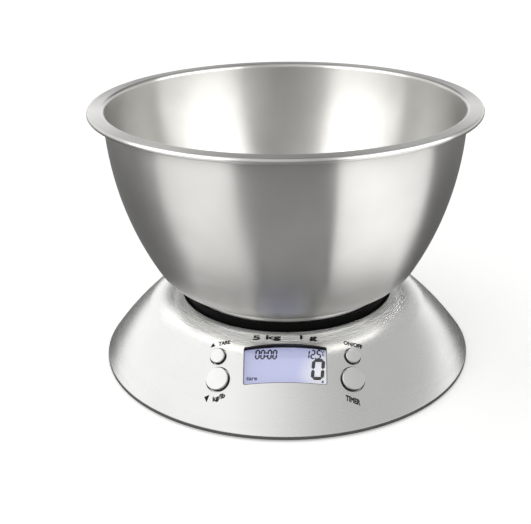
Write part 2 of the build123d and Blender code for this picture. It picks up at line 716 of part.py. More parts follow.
def main_board_screws():
    """Four small screws that hold the board to the liner."""
    length = TAPPER_DEPTH + BOARD_THICKNESS
    tapper = screw(TAPPER_RADIUS, length, TAPPER_HEAD_RADIUS, TAPPER_HEAD_HEIGHT)
    place = window_place() * Pos(0, 0, BOARD_BOTTOM)
    return Compound(children=[place * spot * tapper for spot in board_screw_places()])


def behind_board(spot, shape):
    """Shape that hangs from the back of the board at a spot, its top level with the board's back."""
    return window_place() * Pos(spot[0], spot[1] + BOARD_LIFT, BOARD_BOTTOM) * shape


def hung_box(size):
    """Box that hangs below the level plane."""
    return Pos(0, 0, -size[2] / 2) * Box(*size)


def controller_chip():
    """Square chip in the middle of the board."""
    return behind_board((0, 0), hung_box((CHIP_SIDE, CHIP_SIDE, CHIP_HEIGHT)))


def clock_crystal():
    """Can of the clock crystal, lying on the board."""
    return behind_board(
        CRYSTAL_PLACE, Pos(0, 0, -CRYSTAL_RADIUS) * Rot(0, 90, 0) * Cylinder(CRYSTAL_RADIUS, CRYSTAL_LENGTH)
    )


def board_capacitors():
    """One can and four chip capacitors."""
    chips = [behind_board(spot, hung_box(CHIP_CAPACITOR)) for spot in CHIP_CAPACITOR_PLACES]
    return Compound(children=chips + [behind_board(CAN_PLACE, rod(CAN_RADIUS, -CAN_HEIGHT, 0))])


def temperature_sensor():
    """Bead of the room temperature sensor."""
    return behind_board(SENSOR_PLACE, rod(SENSOR_RADIUS, -SENSOR_HEIGHT, 0))


def buzzer():
    """Round sounder of the timer."""
    return behind_board(BUZZER_PLACE, rod(BUZZER_RADIUS, -BUZZER_HEIGHT, 0))


def connector_places():
    """Places of the four sockets: load cell, battery and the two key boards."""
    x, y = KEY_CONNECTOR_PLACE
    return (CELL_CONNECTOR_PLACE, BATTERY_CONNECTOR_PLACE, (-x, y), (x, y))


def board_connectors():
    """Four sockets on the back of the board."""
    return Compound(children=[behind_board(spot, hung_box(CONNECTOR)) for spot in connector_places()])


def key_board(side):
    """Small circuit board under one side's keys."""
    x, y = key_board_middle(side)
    middle = (KEY_BOARD_TOP + KEY_BOARD_BOTTOM) / 2
    board = Pos(x, y, middle) * Box(KEY_BOARD_WIDTH, KEY_BOARD_HEIGHT, KEY_BOARD_THICKNESS)
    for place in key_screw_places(side):
        board -= place * rod(TAPPER_RADIUS, KEY_BOARD_BOTTOM - PAST, KEY_BOARD_TOP + PAST)
    return keys_place(side) * board


def key_board_screws():
    """Two small screws for each key board."""
    length = TAPPER_DEPTH + KEY_BOARD_THICKNESS
    tapper = screw(TAPPER_RADIUS, length, TAPPER_HEAD_RADIUS, TAPPER_HEAD_HEIGHT)
    screws = []
    for side in (-1, 1):
        for place in key_screw_places(side):
            screws.append(keys_place(side) * place * Pos(0, 0, KEY_BOARD_BOTTOM) * tapper)
    return Compound(children=screws)


def tact_switches():
    """Four switch bodies, each with a bore for its plunger."""
    body = Pos(0, 0, (SWITCH_TOP + KEY_BOARD_TOP) / 2) * Box(SWITCH_SIDE, SWITCH_SIDE, SWITCH_HEIGHT)
    floor = SWITCH_TOP - PLUNGER_DEPTH - KEY_TRAVEL - FLANGE_GAP
    body -= rod(PLUNGER_RADIUS + PLUNGER_GAP, floor, SWITCH_TOP + PAST)
    return Compound(children=[key_place(name) * body for name in KEYS])


def button(name):
    """Domed cap with a retaining flange inside the liner and a stem down to its switch."""
    radius = KEYS[name][2]
    crown = CAP_SIDE + CAP_CROWN
    sphere = (radius**2 + CAP_CROWN**2) / (2 * CAP_CROWN)
    outline = Curve() + [
        Line((0, FLANGE_TOP), (radius, FLANGE_TOP)),
        Line((radius, FLANGE_TOP), (radius, CAP_SIDE)),
        sloped_arc((0, crown - sphere), sphere, asin(radius / sphere), 0),
        Line((0, crown), (0, FLANGE_TOP)),
    ]
    section = make_face(outline.edges())
    section = fillet(corner(section, radius, CAP_SIDE), CAP_ROUND)
    section += band(0, radius + CAP_FLANGE, FLANGE_BOTTOM, FLANGE_TOP)
    section += band(0, STEM_RADIUS, STEM_BOTTOM, FLANGE_BOTTOM)
    return key_place(name) * turned(section)


def plunger(name):
    """Moving stem of one switch, under the cap's own stem."""
    return key_place(name) * rod(PLUNGER_RADIUS, SWITCH_TOP - PLUNGER_DEPTH, STEM_BOTTOM)


def lower_housing():
    """Moulded floor with the pedestal, the overload stop, the screw bosses and the battery bay."""
    floor = turned(dome_section(FLOOR_INSET, FLOOR_BOTTOM)) & rod(BASE_RADIUS, FLOOR_BOTTOM, FLOOR_TOP)
    pedestal = (-CELL_MIDDLE - CELL_END / 2, -CELL_MIDDLE + CELL_END / 2)
    half = CELL_WIDTH / 2 + CELL_MARGIN
    floor += block(pedestal, (-half, half), (FLOOR_BOTTOM, CELL_BOTTOM - CELL_SHIM))
    stop = (CELL_LENGTH / 2 - STOP_LENGTH, CELL_LENGTH / 2)
    stop_top = CELL_BOTTOM - PLATFORM_TRAVEL - STOP_MARGIN
    floor += block(stop, (-STOP_WIDTH / 2, STOP_WIDTH / 2), (FLOOR_BOTTOM, stop_top))
    floor += block(
        (-BAY_END - BAY_WALL, BAY_END + BAY_WALL),
        (BAY_FRONT - BAY_WALL, BAY_REAR + BAY_WALL),
        (FLOOR_TOP, BAY_ROOF + BAY_WALL),
    )
    floor -= block((-BAY_END, BAY_END), (BAY_FRONT, BAY_REAR), (FLOOR_BOTTOM - PAST, BAY_ROOF))
    pin = HINGE_PIN_RADIUS + HINGE_PIN_GAP
    reach = 2 * (BAY_END + HINGE_PIN_LENGTH + DOOR_GAP)
    floor -= Pos(0, HINGE_Y, HINGE_Z) * Rot(0, 90, 0) * Cylinder(pin, reach)
    slot = TAB_WIDTH / 2 + CONTACT_GAP
    for y in BATTERY_Y:
        floor -= block((BAY_END, BAY_END + PAST), (y - slot, y + slot), tab_heights(CONTACT_GAP))
    for angle in HOUSING_SCREW_ANGLES:
        place = around(angle, ORBIT)
        floor += place * rod(FLOOR_BOSS_RADIUS, FLOOR_TOP, FLOOR_BOSS_TOP)
        floor -= place * rod(SCREW_RADIUS, FLOOR_BOTTOM - PAST, FLOOR_BOSS_TOP + PAST)
        floor -= place * rod(SCREW_HEAD_RADIUS + SCREW_HEAD_GAP, FLOOR_BOTTOM - PAST, SCREW_SEAT)
    for place in bolt_places(-CELL_MIDDLE):
        floor -= place * rod(BOLT_RADIUS, FLOOR_BOTTOM - PAST, CELL_BOTTOM + PAST)
        floor -= place * rod(BOLT_HEAD_RADIUS + SCREW_HEAD_GAP, FLOOR_BOTTOM - PAST, BOLT_SEAT)
    for angle in FOOT_PAD_ANGLES:
        place = around(angle, ORBIT)
        floor -= place * rod(FOOT_PAD_RADIUS, FLOOR_BOTTOM - PAST, FLOOR_BOTTOM + FOOT_PAD_RECESS)
    return floor


def rubber_feet():
    """Four soft feet glued into the floor's recesses."""
    section = band(0, FOOT_PAD_RADIUS, 0, FLOOR_BOTTOM + FOOT_PAD_RECESS)
    pad = turned(fillet(corner(section, FOOT_PAD_RADIUS, 0), FOOT_PAD_ROUND))
    return Compound(children=[around(angle, ORBIT) * pad for angle in FOOT_PAD_ANGLES])


def housing_screws():
    """Four screws from below, through the floor's bosses into the liner's bosses."""
    long_screw = screw(SCREW_RADIUS, SCREW_LENGTH, SCREW_HEAD_RADIUS, SCREW_HEAD_HEIGHT)
    places = [around(angle, ORBIT) * Pos(0, 0, SCREW_SEAT) for angle in HOUSING_SCREW_ANGLES]
    return Compound(children=[place * long_screw for place in places])


def batteries():
    """Two round cells side by side, turned opposite ways."""
    can_end = BATTERY_LENGTH / 2 - BATTERY_NUB
    can = rod(BATTERY_RADIUS, -BATTERY_LENGTH / 2, can_end)
    can += rod(BATTERY_NUB_RADIUS, can_end, BATTERY_LENGTH / 2)
    front = Pos(0, BATTERY_Y[0], BATTERY_Z) * Rot(0, -90, 0) * can
    rear = Pos(0, BATTERY_Y[1], BATTERY_Z) * Rot(0, 90, 0) * can
    return Compound(children=[front, rear])


def tab_heights(gap):
    """Lowest and highest point of a contact's solder tab, grown by a gap."""
    return (BATTERY_Z - CONTACT_SHEET / 2 - gap, BATTERY_Z + CONTACT_SHEET / 2 + gap)


def contact_plate():
    """Flat of a contact against the bay's end wall, centred on its battery, facing +X."""
    half_width = CONTACT_WIDTH / 2
    half_height = CONTACT_HEIGHT / 2
    return block(
        (BAY_END - CONTACT_SHEET, BAY_END), (-half_width, half_width), (-half_height, half_height)
    )


def solder_tab():
    """Tab that passes through the bay's end wall."""
    low, high = tab_heights(0)
    return block(
        (BAY_END, BAY_END + BAY_WALL + TAB_REACH),
        (-TAB_WIDTH / 2, TAB_WIDTH / 2),
        (low - BATTERY_Z, high - BATTERY_Z),
    )


def leaf_spring():
    """Bowed leaf on a contact plate, which presses on a battery's flat end."""
    tip = BATTERY_LENGTH / 2 + CONTACT_GAP
    root = BAY_END - CONTACT_SHEET
    half = CONTACT_WIDTH / 2
    inner = half - CONTACT_SHEET
    outline = Curve() + [
        ThreePointArc((root, -half), (tip, 0), (root, half)),
        Line((root, half), (root, inner)),
        ThreePointArc((root, inner), (tip + CONTACT_SHEET, 0), (root, -inner)),
        Line((root, -inner), (root, -half)),
    ]
    bow = extrude(make_face(outline.edges()), LEAF_HEIGHT / 2, both=True)
    return contact_plate() + bow


def raised_contact():
    """Contact plate with a raised button, which meets a battery's nub."""
    tip = BATTERY_LENGTH / 2 + CONTACT_GAP
    return contact_plate() + Rot(0, 90, 0) * rod(DIMPLE_RADIUS, tip, BAY_END)


def battery_springs():
    """The two spring contacts: right of the front battery and left of the rear one."""
    right = Pos(0, BATTERY_Y[0], BATTERY_Z) * (leaf_spring() + solder_tab())
    left = Pos(0, BATTERY_Y[1], BATTERY_Z) * Rot(0, 0, 180) * leaf_spring()
    return Compound(children=[right, left])


def battery_contacts():
    """The two raised contacts, the left one with a bridge to the spring beside it."""
    right = Pos(0, BATTERY_Y[1], BATTERY_Z) * (raised_contact() + solder_tab())
    left = Pos(0, BATTERY_Y[0], BATTERY_Z) * Rot(0, 0, 180) * raised_contact()
    left += block(
        (-BAY_END, CONTACT_SHEET - BAY_END),
        (BATTERY_Y[0], BATTERY_Y[1] - CONTACT_WIDTH / 2),
        (BATTERY_Z - BRIDGE_HEIGHT / 2, BATTERY_Z + BRIDGE_HEIGHT / 2),
    )
    return Compound(children=[right, left])


def battery_door():
    """Flush door on two hinge pins along its front edge, with a latch tongue at the back."""
    half = BAY_END - DOOR_GAP
    rear = BAY_REAR - DOOR_GAP
    door = block((-half, half), (HINGE_Y, rear), (FLOOR_BOTTOM, FLOOR_TOP))
    hinge = Pos(0, HINGE_Y, HINGE_Z) * Rot(0, 90, 0)
    door += hinge * Cylinder(HINGE_RADIUS, 2 * half)
    door += hinge * Cylinder(HINGE_PIN_RADIUS, 2 * (BAY_END + HINGE_PIN_LENGTH))
    tongue_back = BAY_REAR - LATCH_ROOM / 2
    tongue = (tongue_back - LATCH_THICKNESS, tongue_back)
    across = (-LATCH_WIDTH / 2, LATCH_WIDTH / 2)
    door += block(across, tongue, (FLOOR_BOTTOM, FLOOR_TOP + LATCH_HEIGHT))
    nose_low = FLOOR_TOP + DOOR_GAP
    door += block(across, (tongue_back, tongue_back + LATCH_NOSE), (nose_low, nose_low + LATCH_NOSE))
    grip = (tongue[0] - 2 * GRIP_LENGTH, tongue[0] - GRIP_LENGTH)
    door -= block(across, grip, (FLOOR_BOTTOM - PAST, FLOOR_BOTTOM + GRIP_DEPTH))
    return door


def lead(points, diameter):
    """Round lead of straight runs and arcs, each arc as large as its two runs allow."""
    radii = []
    for before, here, after in zip(points, points[1:], points[2:]):
        shorter = min((here - before).length, (after - here).length)
        half_turn = radians((here - before).get_angle(after - here)) / 2
        radii.append(BEND_SHARE * shorter / tan(half_turn))
    path = FilletPolyline(*points, radius=radii)
    section = Plane(origin=path @ 0, z_dir=path % 0) * Circle(diameter / 2)
    return sweep(section, path=path)


def on_floor(start, end, share, height):
    """Point above the floor, at a share of the way between two points."""
    between = start + (end - start) * share
    return Vector(between.X, between.Y, height)


def socket_points(spot, shift):
    """End of a lead on the face of a socket, and the point that it leaves for, straight out."""
    depth = BOARD_BOTTOM - CONNECTOR[2]
    place = window_place() * Pos(spot[0] + shift, spot[1] + BOARD_LIFT, depth)
    return place.position, (place * Pos(0, 0, -LEAD_REACH)).position


def load_cell_cable():
    """Cable from the fixed end of the cell, along the floor, up to the main board."""
    socket, leaving = socket_points(CELL_CONNECTOR_PLACE, 0)
    low = FLOOR_TOP + CELL_CABLE_DIAMETER / 2 + LEAD_ROOM
    level = (CELL_BOTTOM + CELL_TOP) / 2
    start = Vector(-CELL_MIDDLE, -CELL_WIDTH / 2, level)
    turn = start - Vector(0, CELL_LEAD_REACH, 0)
    along = [on_floor(turn, leaving, share, low) for share in FLOOR_SHARES]
    return lead((start, turn, *along, leaving, socket), CELL_CABLE_DIAMETER)


def battery_leads():
    """Two leads from the battery contacts, past the cell, to the main board."""
    low = FLOOR_TOP + BATTERY_LEAD_DIAMETER / 2 + LEAD_ROOM
    tab_end = BAY_END + BAY_WALL + TAB_REACH
    leads = []
    for place, y in enumerate(BATTERY_Y):
        outer = LEAD_PITCH * place
        socket, leaving = socket_points(BATTERY_CONNECTOR_PLACE, SOCKET_PITCH * (place - 0.5))
        rear = Vector(CELL_LENGTH / 2 + LEAD_BERTH + outer, CELL_WIDTH / 2 + LEAD_BERTH, low)
        front = rear - Vector(0, CELL_WIDTH + 2 * LEAD_BERTH, 0)
        points = (
            Vector(tab_end, y, BATTERY_Z),
            Vector(tab_end + LEAD_REACH + outer, y, BATTERY_Z),
            rear,
            front,
            on_floor(front, leaving, FLOOR_SHARE, low),
            leaving,
            socket,
        )
        leads.append(lead(points, BATTERY_LEAD_DIAMETER))
    return Compound(children=leads)


def key_cable(side):
    """Cable from the back of one key board to the main board."""
    x, y = KEY_CONNECTOR_PLACE
    socket, leaving = socket_points((side * x, y), 0)
    start = keys_place(side) * Pos(side * KEY_BOARD_SHIFT, 0, KEY_BOARD_BOTTOM)
    return lead(
        (start.position, (start * Pos(0, 0, -LEAD_REACH)).position, leaving, socket), KEY_CABLE_DIAMETER
    )


def pieces():
    """Every piece of the scale by name."""
    made = {
        "bowl": bowl(),
        "platform": platform(),
        "platform_spacer": end_plate(CELL_MIDDLE, CELL_TOP, SPACER_TOP),
        "platform_screws": platform_screws(),
        "load_cell": load_cell(),
        "strain_gauges": strain_gauges(),
        "load_cell_spacer": end_plate(-CELL_MIDDLE, CELL_BOTTOM - CELL_SHIM, CELL_BOTTOM),
        "load_cell_screws": load_cell_screws(),
        "top_cover": top_cover(),
        "upper_housing": upper_housing(),
        "lower_housing": lower_housing(),
        "rubber_feet": rubber_feet(),
        "housing_screws": housing_screws(),
        "lcd_window": lcd_window(),
        "lcd_glass": lcd_glass(),
        "lcd_frame": lcd_frame(),
        "lcd_backlight": lcd_backlight(),
        "backlight_led": backlight_led(),
        "zebra_strips": zebra_strips(),
        "main_board": main_board(),
        "main_board_screws": main_board_screws(),
        "controller_chip": controller_chip(),
        "clock_crystal": clock_crystal(),
        "board_capacitors": board_capacitors(),
        "temperature_sensor": temperature_sensor(),
        "buzzer": buzzer(),
        "board_connectors": board_connectors(),
        "left_key_board": key_board(-1),
        "right_key_board": key_board(1),
        "key_board_screws": key_board_screws(),
        "tact_switches": tact_switches(),
        "batteries": batteries(),
        "battery_springs": battery_springs(),
        "battery_contacts": battery_contacts(),
        "battery_door": battery_door(),
        "load_cell_cable": load_cell_cable(),
        "battery_leads": battery_leads(),
        "left_key_cable": key_cable(-1),
        "right_key_cable": key_cable(1),
    }
    for name in KEYS:
        made[f"{name}_button"] = button(name)
        made[f"{name}_plunger"] = plunger(name)
    return made


os.makedirs("parts", exist_ok=True)
for name, piece in pieces().items():
    export_step(piece, f"parts/{name}.step")
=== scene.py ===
"""Looks of a kitchen scale with a lift-off bowl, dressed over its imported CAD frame."""

import logging
from collections.abc import Callable, Iterable, Iterator, Sequence
from contextlib import contextmanager
from dataclasses import dataclass, field
from enum import Enum
from math import acos, asin, cos, hypot, pi, radians, sin, tan

import bmesh
import bpy
from mathutils import Matrix, Vector


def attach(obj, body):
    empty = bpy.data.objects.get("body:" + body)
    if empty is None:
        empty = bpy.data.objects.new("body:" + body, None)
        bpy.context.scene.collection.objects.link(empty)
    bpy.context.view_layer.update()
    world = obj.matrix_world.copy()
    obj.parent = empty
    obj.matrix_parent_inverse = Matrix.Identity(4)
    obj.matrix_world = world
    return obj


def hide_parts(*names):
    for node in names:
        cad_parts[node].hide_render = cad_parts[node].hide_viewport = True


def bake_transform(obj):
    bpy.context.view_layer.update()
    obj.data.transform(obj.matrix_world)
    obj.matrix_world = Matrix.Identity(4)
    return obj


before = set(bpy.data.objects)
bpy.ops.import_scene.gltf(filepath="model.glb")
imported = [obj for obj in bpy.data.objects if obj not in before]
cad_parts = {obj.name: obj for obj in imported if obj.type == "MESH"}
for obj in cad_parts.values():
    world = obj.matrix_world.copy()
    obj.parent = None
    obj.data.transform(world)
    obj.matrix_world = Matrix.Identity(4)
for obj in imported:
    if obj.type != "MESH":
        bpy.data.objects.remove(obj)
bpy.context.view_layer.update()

log = logging.getLogger("kitchen_scale")

Point = tuple[float, float]
Corner = tuple[float, float, float]

MM = 0.001
FULL_TURN = 2 * pi
QUARTER_TURN = pi / 2
WHITE = (1.0, 1.0, 1.0, 1.0)
BLACK = (0.0, 0.0, 0.0, 1.0)
# A quarter turn of the shader's highlight lays it across the brushed lines.
ACROSS_THE_LINES = 0.25
# Most of a noise pattern's values lie between these two.
PATTERN_LOW = 0.25
PATTERN_HIGH = 0.75
# Points of a finished mesh nearer than this, in millimetres, are one point.
MERGE = 0.0005
# Points of a swept section nearer than this, in millimetres, are one point.
SWEEP_MERGE = 0.001
# Stretches in the arc of a rounded corner, and how far before and after it a supporting point lies.
ROUND_STEPS = 8
SUPPORT = 0.12
# Depth and stretches of the letters that flat letters are taken from.
LETTER_DEPTH = 0.5
LETTER_STEPS = 4
# Shortest edge of a letter in millimetres, and how far a sharp corner may run out when letters grow.
LEAST_EDGE = 0.004
LEAST_MITRE = 0.5


class Body(Enum):
    """Bodies of the frame that the dressed pieces ride on."""

    BASE = "base"
    PLATFORM = "platform"
    BOWL = "bowl"


def linear(colour: str) -> tuple[float, float, float, float]:
    """Turn an sRGB hex colour into linear light.

    Args:
        colour: six hex digits after a hash sign.

    Returns:
        Red, green, blue and a full alpha.
    """
    parts = [int(colour[place : place + 2], 16) / 255 for place in (1, 3, 5)]
    lit = [part / 12.92 if part <= 0.04045 else ((part + 0.055) / 1.055) ** 2.4 for part in parts]
    return (*lit, 1.0)


def add_node(
    tree: bpy.types.NodeTree,
    kind: str,
    settings: dict[str, object] | None = None,
    inputs: dict[str | int, object] | None = None,
) -> bpy.types.Node:
    """Add a node, set its properties, and set or link its inputs.

    Args:
        tree: the tree that gets the node.
        kind: Blender's name for the node.
        settings: properties of the node.
        inputs: values, or sockets to link from, by input name or place.

    Returns:
        The new node.
    """
    node = tree.nodes.new(kind)
    for name, value in (settings or {}).items():
        setattr(node, name, value)
    for name, value in (inputs or {}).items():
        if isinstance(value, bpy.types.NodeSocket):
            tree.links.new(value, node.inputs[name])
        else:
            node.inputs[name].default_value = value
    return node


@dataclass(frozen=True)
class Finish:
    """Base of every finish: a named material around one shader.

    A finish's lines or grain vary its roughness by `spread` and stand `relief` millimetres high.
    """

    name: str
    colour: str
    roughness: float
    spread: float = 0.04
    relief: float = 0.004

    def start(self) -> tuple[bpy.types.Material, bpy.types.NodeTree, bpy.types.Node]:
        """Make the material with its shader.

        Returns:
            The material, its node tree and its shader node.
        """
        material = bpy.data.materials.new(self.name)
        material.use_nodes = True
        tree = material.node_tree
        tree.nodes.clear()
        shader = add_node(tree, "ShaderNodeBsdfPrincipled")
        shader.inputs["Base Color"].default_value = linear(self.colour)
        shader.inputs["Roughness"].default_value = self.roughness
        add_node(tree, "ShaderNodeOutputMaterial", inputs={"Surface": shader.outputs["BSDF"]})
        return material, tree, shader

    def grain(
        self, tree: bpy.types.NodeTree, shader: bpy.types.Node, pattern: bpy.types.NodeSocket
    ) -> None:
        """Let a pattern vary the roughness and raise a fine relief.

        Args:
            tree: the material's tree.
            shader: the material's shader.
            pattern: a value from 0 to 1.
        """
        rough = add_node(
            tree,
            "ShaderNodeMapRange",
            inputs={
                "Value": pattern,
                "From Min": PATTERN_LOW,
                "From Max": PATTERN_HIGH,
                "To Min": self.roughness - self.spread,
                "To Max": self.roughness + self.spread,
            },
        )
        bump = add_node(
            tree,
            "ShaderNodeBump",
            inputs={"Height": pattern, "Strength": 1.0, "Distance": self.relief * MM},
        )
        tree.links.new(rough.outputs["Result"], shader.inputs["Roughness"])
        tree.links.new(bump.outputs["Normal"], shader.inputs["Normal"])

    def tint(
        self, tree: bpy.types.NodeTree, shader: bpy.types.Node, pattern: bpy.types.NodeSocket, other: str
    ) -> None:
        """Let a pattern vary the colour.

        Args:
            tree: the material's tree.
            shader: the material's shader.
            pattern: a value from 0 to 1.
            other: hex colour where the pattern is 1.
        """
        mix = add_node(
            tree,
            "ShaderNodeMix",
            {"data_type": "RGBA"},
            {"Factor": pattern, "A": linear(self.colour), "B": linear(other)},
        )
        tree.links.new(mix.outputs["Result"], shader.inputs["Base Color"])

    def object_noise(
        self, tree: bpy.types.NodeTree, size_mm: float, detail: float = 2.0
    ) -> bpy.types.NodeSocket:
        """Noise on object coordinates with features of a size in millimetres.

        Args:
            tree: the material's tree.
            size_mm: size of one feature.
            detail: how many finer octaves it has.

        Returns:
            The noise's value socket.
        """
        place = add_node(tree, "ShaderNodeTexCoord").outputs["Object"]
        noise = add_node(
            tree,
            "ShaderNodeTexNoise",
            inputs={"Vector": place, "Scale": 1 / (size_mm * MM), "Detail": detail},
        )
        return noise.outputs["Fac"]


@dataclass(frozen=True)
class TurnedSteel(Finish):
    """Stainless sheet, spun and brushed round the axis.

    The fine lines run round the piece, so lights draw out into bands across them. Real brush lines are
    about a twentieth of a millimetre wide: they are drawn `line_mm` wide, as coarse as shows.
    """

    line_mm: float = 0.35
    line_run: float = 3.0
    anisotropy: float = 0.7
    cloud_mm: float = 30.0
    worn_colour: str = "#B9B8B5"
    line_detail: float = 3.0

    def material(self) -> bpy.types.Material:
        """Build the brushed steel.

        Returns:
            The material.
        """
        material, tree, shader = self.start()
        shader.inputs["Metallic"].default_value = 1.0
        shader.inputs["Anisotropic"].default_value = self.anisotropy
        shader.inputs["Anisotropic Rotation"].default_value = ACROSS_THE_LINES
        tangent = add_node(tree, "ShaderNodeTangent", {"direction_type": "RADIAL", "axis": "Z"})
        tree.links.new(tangent.outputs["Tangent"], shader.inputs["Tangent"])
        place = add_node(tree, "ShaderNodeTexCoord").outputs["Object"]
        apart = add_node(tree, "ShaderNodeSeparateXYZ", inputs={"Vector": place})
        flat = add_node(
            tree,
            "ShaderNodeCombineXYZ",
            inputs={"X": apart.outputs["X"], "Y": apart.outputs["Y"]},
        ).outputs["Vector"]
        radius = add_node(tree, "ShaderNodeVectorMath", {"operation": "LENGTH"}, {0: flat})
        way = add_node(tree, "ShaderNodeVectorMath", {"operation": "NORMALIZE"}, {0: flat})
        along = add_node(
            tree,
            "ShaderNodeMath",
            {"operation": "ADD"},
            {0: radius.outputs["Value"], 1: apart.outputs["Z"]},
        )
        across = add_node(
            tree,
            "ShaderNodeMath",
            {"operation": "DIVIDE"},
            {0: along.outputs["Value"], 1: self.line_mm * MM},
        )
        turn = add_node(
            tree,
            "ShaderNodeVectorMath",
            {"operation": "SCALE"},
            {0: way.outputs["Vector"], "Scale": self.line_run},
        )
        lift = add_node(tree, "ShaderNodeCombineXYZ", inputs={"Z": across.outputs["Value"]})
        where = add_node(
            tree,
            "ShaderNodeVectorMath",
            {"operation": "ADD"},
            {0: turn.outputs["Vector"], 1: lift.outputs["Vector"]},
        )
        lines = add_node(
            tree,
            "ShaderNodeTexNoise",
            inputs={"Vector": where.outputs["Vector"], "Scale": 1.0, "Detail": self.line_detail},
        )
        self.grain(tree, shader, lines.outputs["Fac"])
        self.tint(tree, shader, self.object_noise(tree, self.cloud_mm), self.worn_colour)
        return material


@dataclass(frozen=True)
class PlatedMetal(Finish):
    """Plated or bare metal with a fine, even grain and broad clouds of a second tone.

    A real grain is a few hundredths of a millimetre wide: it is drawn `grain_mm` wide, as coarse as shows.
    """

    grain_mm: float = 0.4
    worn_colour: str = "#C4C3C0"
    cloud_grains: float = 12.0

    def material(self) -> bpy.types.Material:
        """Build the metal.

        Returns:
            The material.
        """
        material, tree, shader = self.start()
        shader.inputs["Metallic"].default_value = 1.0
        self.grain(tree, shader, self.object_noise(tree, self.grain_mm))
        clouds = self.object_noise(tree, self.cloud_grains * self.grain_mm)
        self.tint(tree, shader, clouds, self.worn_colour)
        return material


@dataclass(frozen=True)
class MouldedPlastic(Finish):
    """Moulded plastic or rubber with a fine spark texture and a slightly uneven tone.

    A real texture is about a tenth of a millimetre wide: it is drawn `grain_mm` wide, as coarse as shows.
    """

    grain_mm: float = 0.5
    worn_colour: str = "#1C1C1D"
    ior: float = 1.53
    shine: float = 0.5
    cloud_grains: float = 20.0

    def material(self) -> bpy.types.Material:
        """Build the plastic.

        Returns:
            The material.
        """
        material, tree, shader = self.start()
        shader.inputs["IOR"].default_value = self.ior
        shader.inputs["Specular IOR Level"].default_value = self.shine
        self.grain(tree, shader, self.object_noise(tree, self.grain_mm))
        clouds = self.object_noise(tree, self.cloud_grains * self.grain_mm)
        self.tint(tree, shader, clouds, self.worn_colour)
        return material


@dataclass(frozen=True)
class ClearAcrylic(Finish):
    """Clear polished acrylic with a coat against glare and the faintest waviness."""

    wave_mm: float = 9.0
    ior: float = 1.49
    shine: float = 0.15

    def material(self) -> bpy.types.Material:
        """Build the acrylic.

        Returns:
            The material.
        """
        material, tree, shader = self.start()
        shader.inputs["IOR"].default_value = self.ior
        shader.inputs["Specular IOR Level"].default_value = self.shine
        shader.inputs["Transmission Weight"].default_value = 1.0
        self.grain(tree, shader, self.object_noise(tree, self.wave_mm, detail=0.0))
        return material


@dataclass(frozen=True)
class LitDisplay(Finish):
    """Display glass lit from behind: it glows lavender and is whitest round the lamp at its right edge,
    partly from the lamp and partly as a painted reflection.
    """

    lamp: Corner = (0.0, 0.0, 0.0)
    near_mm: float = 3.0
    far_mm: float = 18.0
    lamp_and_sheen_colour: str = "#F2F4FA"
    strength: float = 0.49
    grain_mm: float = 0.3

    def material(self) -> bpy.types.Material:
        """Build the lit glass.

        Returns:
            The material.
        """
        material, tree, shader = self.start()
        place = add_node(tree, "ShaderNodeTexCoord").outputs["Object"]
        lamp = Vector(self.lamp) * MM
        away = add_node(tree, "ShaderNodeVectorMath", {"operation": "DISTANCE"}, {0: place, 1: lamp})
        glow = add_node(
            tree,
            "ShaderNodeMapRange",
            {"interpolation_type": "SMOOTHSTEP"},
            {
                "Value": away.outputs["Value"],
                "From Min": self.near_mm * MM,
                "From Max": self.far_mm * MM,
                "To Min": 1.0,
                "To Max": 0.0,
            },
        )
        # The whitening round the lamp's place is partly the lamp's light and partly a painted reflection.
        self.tint(tree, shader, glow.outputs["Result"], self.lamp_and_sheen_colour)
        light = shader.inputs["Base Color"].links[0].from_socket
        tree.links.new(light, shader.inputs["Emission Color"])
        shader.inputs["Emission Strength"].default_value = self.strength
        self.grain(tree, shader, self.object_noise(tree, self.grain_mm))
        return material


@dataclass(frozen=True)
class CircuitBoard(Finish):
    """Glass-fibre board under solder mask, with copper tracks showing through as a lighter green."""

    track_mm: float = 1.4
    track_colour: str = "#2F7A4A"
    pitch_tracks: float = 4.0
    track_share: float = 0.06

    def material(self) -> bpy.types.Material:
        """Build the board.

        Returns:
            The material.
        """
        material, tree, shader = self.start()
        place = add_node(tree, "ShaderNodeTexCoord").outputs["Object"]
        tracks = add_node(
            tree,
            "ShaderNodeTexBrick",
            inputs={
                "Vector": place,
                "Scale": 1 / (self.pitch_tracks * self.track_mm * MM),
                "Color1": BLACK,
                "Color2": BLACK,
                "Mortar": WHITE,
                "Mortar Size": self.track_share,
            },
        )
        self.tint(tree, shader, tracks.outputs["Fac"], self.track_colour)
        self.grain(tree, shader, self.object_noise(tree, self.track_mm))
        return material


